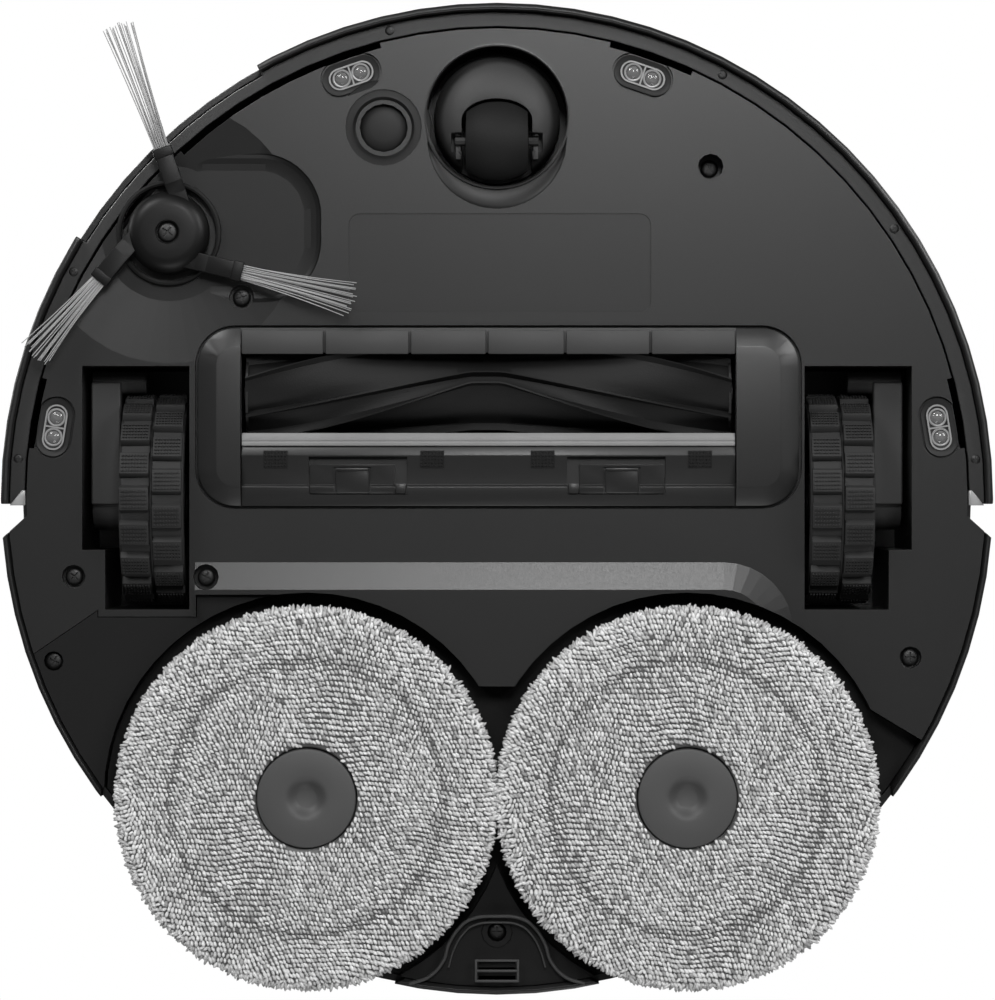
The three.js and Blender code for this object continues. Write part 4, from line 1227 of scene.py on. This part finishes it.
for side in ("right", "left"):
    node = "mop_plate_" + side
    hubFace = mopHub(node, node + "_face")
    middleX, middleY = pad["centres"]["mop_cloth_" + side]
    carve(refined[node], cylinder("hub_cutter", pad["hubCut"], 6.4, (middleX, middleY, 1.0), 96))
    finishPiece(hubFace, bodyOf(node), hubFinish)
print("mop hubs made")


tongue = {"arch": ((-31, 171), (-24, 168.5), (-19, 163), (-17.0, 157), (-13.6, 151.6),
                   (-9.5, 148.4), (0, 147.2)),
          "z": 10.7, "slats": 3, "slatHalf": 7.4, "slatFront": 162.4, "slatStep": 3.6}


def ridge(name, points, width, height):
    # a smooth raised line along a flat path
    curve = bpy.data.curves.new(name, "CURVE")
    curve.dimensions = "3D"
    curve.bevel_depth = width / 2 * mm
    curve.bevel_resolution = 2
    spline = curve.splines.new("BEZIER")
    spline.bezier_points.add(len(points) - 1)
    for target, point in zip(spline.bezier_points, points):
        target.co = (point[0] * mm, point[1] * mm, height * mm)
        target.handle_left_type = "AUTO"
        target.handle_right_type = "AUTO"
    makeActive(addObject(name, curve))
    bpy.ops.object.convert(target="MESH")
    line = bpy.context.object
    smooth(line, 60)
    return line


half = list(tongue["arch"])
archPoints = half + [(-x, y) for x, y in reversed(half[:-1])]
rims = [ridge("tongue_rim", archPoints, 1.3, tongue["z"])]
innerPoints = [(x * 0.9, y + 2.2) for x, y in archPoints[2:-2]]
rims.append(ridge("tongue_rim_inner", innerPoints, 0.7, tongue["z"] + 0.1))
halfWidth, front = tongue["slatHalf"], tongue["slatFront"]
for row in range(tongue["slats"]):
    y = front + row * tongue["slatStep"]
    slat = block("grille_slat", (-halfWidth, y, 10.3), (halfWidth, y + 0.9, 11.2))
    bevelEdges(slat, 0.25 * mm, 2)
    rims.append(slat)
for x in (-halfWidth, halfWidth):
    bar = block("grille_side", (x - 0.45, front, 10.4), (x + 0.45, 170.5, 11.2))
    bevelEdges(bar, 0.25 * mm, 2)
    rims.append(bar)
tongueRims = joined("rear_tongue_rims", rims)
smooth(tongueRims, 50)
finishPiece(tongueRims, "body", forkFinish)

endWindow = {"x": 169.3, "half": 2.8, "front": -3.0, "rear": 2.3, "slant": 4.4}
for number, side in enumerate((-1, 1)):
    left, right = (side * endWindow["x"] + step * endWindow["half"] for step in (-1, 1))
    window = block("bumper_end_window", (left, endWindow["front"], 12.4),
                   (right, endWindow["rear"], 17))
    slant = side * endWindow["slant"]
    shapeVertices(window, lambda point: Vector((point.x - slant * (point.y < 0)
                                                * (point.x * side > 169), point.y, point.z)))
    bevelEdges(window, 0.3 * mm, 2)
    window.name = f"bumper_end_window_{number + 1}"
    smooth(window)
    finishPiece(window, "bumper", paleLens)
print("tongue and bumper ends made")


def loopTemplate():
    # a low yarn loop, flattened where it joins the cloth: length, width and height of one
    deselectAll()
    bpy.ops.mesh.primitive_uv_sphere_add(segments=6, ring_count=4, radius=1,
                                         rotation=(0, math.pi / 2, 0))
    piece = settled("loop_template")
    points = np.array([vertex.co[:] for vertex in piece.data.vertices])
    faces = [tuple(face.vertices) for face in piece.data.polygons]
    discard(piece)
    return points, faces


def wave(x, y, phase):
    return (1.5 * np.sin(x / 15 + y / 21 + phase) + 0.9 * np.sin(x / 7.5 - y / 26 + 2 * phase)
            + 0.5 * np.sin(x / 4.1 + y / 9 + phase))


def faceHeights(radius):
    # the cloth's face is crowned over its rim and dips at the stitched ring and the hub
    outer = np.clip((radius - pad["radius"] + pad["edgeRound"]) / pad["edgeRound"], 0, 1.05)
    inner = np.clip((pad["holeRadius"] + 2.5 - radius) / 2.5, 0, 1)
    seam = np.exp(-((radius - pad["seamRadius"]) / 1.6) ** 2)
    return pad["faceHeight"] + 2.6 * outer ** 2 + 0.9 * inner ** 2 + 0.22 * seam


def loopPlaces(generator, phase):
    # wavy rows of loops across the face
    reach = pad["radius"] + 2
    rows = np.arange(-reach, reach, pad["rowStep"])
    columns = np.arange(-reach, reach, pad["loopStep"])
    x, y = np.meshgrid(columns, rows)
    x = x + (np.arange(len(rows))[:, None] % 2) * pad["loopStep"] / 2
    x = (x + generator.uniform(-0.22, 0.22, x.shape)).ravel()
    y = (y + generator.uniform(-0.2, 0.2, y.shape)).ravel()
    y = y + wave(x, y, phase) + 5.0 * (np.abs(x) / pad["radius"]) ** 2.2 - 2.5
    radius = np.hypot(x, y)
    keep = (radius < pad["radius"] - 0.4) & (radius > pad["holeRadius"] + 0.5)
    return x[keep], y[keep]


def loopFrames(x, y, generator, phase):
    # each loop's place, length direction, outward direction, size and tone
    count = len(x)
    radius = np.hypot(x, y)
    around = np.arctan2(y, x)
    rimShare = np.clip((radius - pad["radius"] + 10) / 10, 0, 1)
    step = 0.5
    slope = np.arctan2(wave(x + step, y, phase) - wave(x, y, phase), step)
    lean = np.radians(pad["loopLean"]) + slope + generator.normal(0, 0.2, count)
    lean = lean + 0.3 * np.sin(x / 11 + phase) * np.sin(y / 13)
    radial = around + generator.normal(0, 0.45, count)
    flip = np.cos(radial - lean) < 0
    radial = np.where(flip, radial + np.pi, radial)
    lean = lean + (radial - lean) * rimShare ** 2 * 0.7
    height = faceHeights(radius)
    tilt = (faceHeights(radius + 0.3) - faceHeights(radius - 0.3)) / 0.6
    outward = np.stack([np.cos(around) * tilt, np.sin(around) * tilt, -np.ones(count)], 1)
    outward = outward + generator.normal(0, 0.12, (count, 3))
    along = np.stack([np.cos(lean), np.sin(lean), np.zeros(count)], 1)
    size = generator.uniform(0.8, 1.15, (count, 1)) * np.array(pad["loopSize"])
    size = size * (1 + 0.22 * rimShare[:, None] * generator.uniform(0, 1.6, (count, 1)))
    seam = np.exp(-((radius - pad["seamRadius"]) / 1.3) ** 2)
    size = size * (1 - 0.22 * seam[:, None])
    tone = np.clip(generator.normal(0.8, 0.2, count) - 0.18 * seam + 0.1 * rimShare, 0.1, 1)
    place = np.stack([x, y, height - 0.05], 1)
    place[:, 2] += generator.uniform(-0.18, 0.18, count)
    return place, along, outward, size, tone


def fringeFrames(generator):
    # loops that stand out round the edge
    places, alongs, outwards, sizes, tones = [], [], [], [], []
    perRow = int(2 * math.pi * pad["radius"] / pad["fringeStep"])
    for row in range(pad["fringeRows"]):
        turn = (np.arange(perRow) + row / pad["fringeRows"]) * 2 * np.pi / perRow
        turn = turn + generator.normal(0, 0.006, perRow)
        lean = generator.normal(0, 0.42, perRow)
        reach = pad["radius"] - 1.5 + generator.uniform(0, 1.3, perRow)
        height = 2.1 + row * 1.35 + generator.uniform(-0.4, 0.4, perRow)
        places.append(np.stack([np.cos(turn) * reach, np.sin(turn) * reach, height], 1))
        alongs.append(np.stack([np.cos(turn + lean), np.sin(turn + lean),
                                generator.normal(-0.12, 0.2, perRow)], 1))
        outwards.append(np.stack([np.cos(turn) * 0.2, np.sin(turn) * 0.2, -np.ones(perRow)], 1))
        length = 1.3 + 1.0 * generator.uniform(0, 1, perRow) ** 3
        sizes.append(np.stack([length, np.full(perRow, 0.6), np.full(perRow, 0.6)], 1))
        tones.append(np.clip(generator.normal(0.68, 0.14, perRow), 0.1, 1))
    return [np.concatenate(parts) for parts in (places, alongs, outwards, sizes, tones)]


def unit(vectors):
    return vectors / np.linalg.norm(vectors, axis=1)[:, None]


def makePad(node, phase):
    generator = np.random.default_rng(11 + int(phase * 10))
    points, faces = loopTemplate()
    x, y = loopPlaces(generator, phase)
    face = loopFrames(x, y, generator, phase)
    fringe = fringeFrames(generator)
    place, along, outward, size, tone = (np.concatenate(pair) for pair in zip(face, fringe))
    outward = unit(outward)
    along = unit(along - outward * np.sum(along * outward, axis=1)[:, None])
    across = np.cross(outward, along)
    cloud = (place[:, None, :]
             + along[:, None, :] * (points[None, :, 0:1] * size[:, None, 0:1])
             + across[:, None, :] * (points[None, :, 1:2] * size[:, None, 1:2])
             + outward[:, None, :] * (points[None, :, 2:3] * size[:, None, 2:3]))
    cloud[:, :, 2] = np.maximum(cloud[:, :, 2], 0.05)
    # painted shade: each loop darkens towards its foot, so the gaps between loops read dark
    heights = np.clip(points[:, 2] * 0.5 + 0.5, 0, 1)
    tones = tone[:, None] * (0.02 + 0.98 * heights[None, :] ** 1.3)
    count = len(points)
    allFaces = [tuple(i + loop * count for i in shape)
                for loop in range(len(place)) for shape in faces]
    mesh = bpy.data.meshes.new(node + "_loops")
    mesh.from_pydata((cloud.reshape(-1, 3) * mm).tolist(), [], allFaces)
    attribute = mesh.attributes.new("tone", "FLOAT", "POINT")
    attribute.data.foreach_set("value", tones.ravel().astype(np.float32))
    mesh.shade_smooth()
    loops = addObject(node + "_loops", mesh)

    hole, outer, back = pad["holeRadius"], pad["radius"], pad["backHeight"]
    backing = turned(node + "_backing", [
        (hole, 2.4), (hole + 0.8, 1.7), (hole + 2.5, 1.35), (44, 1.3), (48, 1.6), (52, 1.3),
        (outer - 5, 1.4), (outer - 2, 2.0), (outer - 0.7, 3.0), (outer - 0.5, 4.4),
        (outer - 1.2, 5.7), (outer - 2.6, back), (hole + 0.6, back), (hole, 5.4)],
        (0, 0, 0), 96, closed=True)
    smooth(backing, 60)
    # painted shade: the backing seen between the loops is painted dark
    backingShade = backing.data.attributes.new("tone", "FLOAT", "POINT")
    backingShade.data.foreach_set("value", [0.12] * len(backing.data.vertices))
    cloth = joined(node + "_pad", [loops, backing])
    middleX, middleY = pad["centres"][node]
    cloth.data.transform(Matrix.Translation((middleX * mm, middleY * mm, 0)))
    finishPiece(cloth, bodyOf(node), yarn, [node])


makePad("mop_cloth_right", 0.4)
makePad("mop_cloth_left", 1.7)
print("mop pads made")


pill = {
    "surround": (10.3, 5.7),
    "base": (8.2, 3.9),
    "frame": (8.1, 3.85),
    "opening": (7.5, 3.25),
    "lensOffset": 3.5,
    "lensLow": 11.3,
}


def pillTemplate():
    # a clear twin lens: a dark well, two domes with pale rims and a pale outline that paint their
    # highlight, and a dark surround that paints the recess's shade
    def slab(name, size, low, high):
        x, y = pill[size]
        return block(name, (-x, -y, low), (x, y, high))

    # painted shade: a dark plate in the recess round the lens stands in for the recess's shade
    surround = slab("pill_surround", "surround", 11.75, 12.6)
    roundCorners(surround, 5.65, 10)
    insetUnderside(surround, 1.0, -0.5)
    smooth(surround)
    base = slab("pill_base", "base", 12.0, 13.3)
    roundCorners(base, 3.85, 8)
    insetUnderside(base, 0.5, -0.35)
    bevelEdges(base, 0.12 * mm, 2)
    smooth(base)
    lenses = []
    for x in (-pill["lensOffset"], pill["lensOffset"]):
        lenses.append(turned("lens", [(0, pill["lensLow"]), (1.0, 11.4), (1.9, 11.75),
                                      (2.4, 12.3), (2.4, 12.8), (0, 12.8)], (x, 0, 0), 32))
    glass = joined("pill_lenses", lenses)
    smooth(glass, 40)
    # painted highlight: the lens rims, web and outline are pale grey, painting the glint on the
    # clear plastic
    rims = []
    for x in (-pill["lensOffset"], pill["lensOffset"]):
        rims.append(turned("lens_rim_highlight", [(2.45, 12.1), (2.6, 11.75), (3.0, 11.7), (3.3, 12.0),
                                        (3.3, 12.5), (2.45, 12.5)], (x, 0, 0), 36, closed=True))
    web = block("lens_web", (-0.3, -3.7, 11.7), (0.3, 3.7, 12.4))
    frame = slab("lens_frame", "frame", 11.65, 12.3)
    roundCorners(frame, 3.8, 10)
    opening = slab("frame_opening", "opening", 11, 13)
    roundCorners(opening, 3.2, 10)
    carve(frame, opening)
    rim = joined("pill_rims", [*rims, web, frame])
    smooth(rim, 40)
    return base, glass, rim, surround


def carpetSensor():
    # a dished ring round a deep cup with a rounded sounder at its bottom
    middle = middleOf("carpet_sensor_ring") / mm
    centre = (middle.x, middle.y, 0)
    ring = turned("carpet_sensor_ring_fine", [
        (10.3, 11.9), (10.9, 11.35), (11.6, 11.55), (15.9, 11.2), (16.6, 11.05), (16.9, 11.6),
        (16.9, 13.4), (9.4, 16.2), (9.0, 15.4)], centre, 96, closed=True)
    smooth(ring, 40)
    # the ring and cup take a darker, less shiny plastic; down the deep cup it paints the shade
    finishPiece(ring, "body", sensorAndShadeFinish, ["carpet_sensor_ring"])
    cup = turned("carpet_sensor_lens_fine", [(0, 14.4), (4.5, 14.5), (7.2, 14.9), (8.6, 15.5),
                                             (9.1, 16.4), (0, 16.4)], centre, 72)
    smooth(cup, 40)
    finishPiece(cup, "body", sensorAndShadeFinish, ["carpet_sensor_lens"])


carpetSensor()
pillParts = pillTemplate()
cliffNodes = sorted(name for name in nodes if name.startswith("cliff_lens"))
for node in cliffNodes:
    middle = middleOf(node)
    turn = math.atan2(middle.x, -middle.y)
    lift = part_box(node)[0][2] - pill["lensLow"] * mm
    matrix = Matrix.Translation((middle.x, middle.y, lift)) @ Matrix.Rotation(turn, 4, "Z")
    # the surround carries painted shade and the rims a painted highlight
    for part, finish, label, slot in zip(pillParts, (glossFinish, clearLens, lensRimHighlight, darkAndShadeFinish),
                                         ("well", "domes", "rims", "surround"),
                                         ("gloss_black", "clear_plastic", "clear_plastic",
                                          "dark_plastic")):
        piece = copyAt(part, f"{node}_{label}", matrix)
        finishPiece(piece, bodyOf(node), finish, [node] if label == "domes" else ())
for part in pillParts:
    discard(part)
print("floor sensors made")
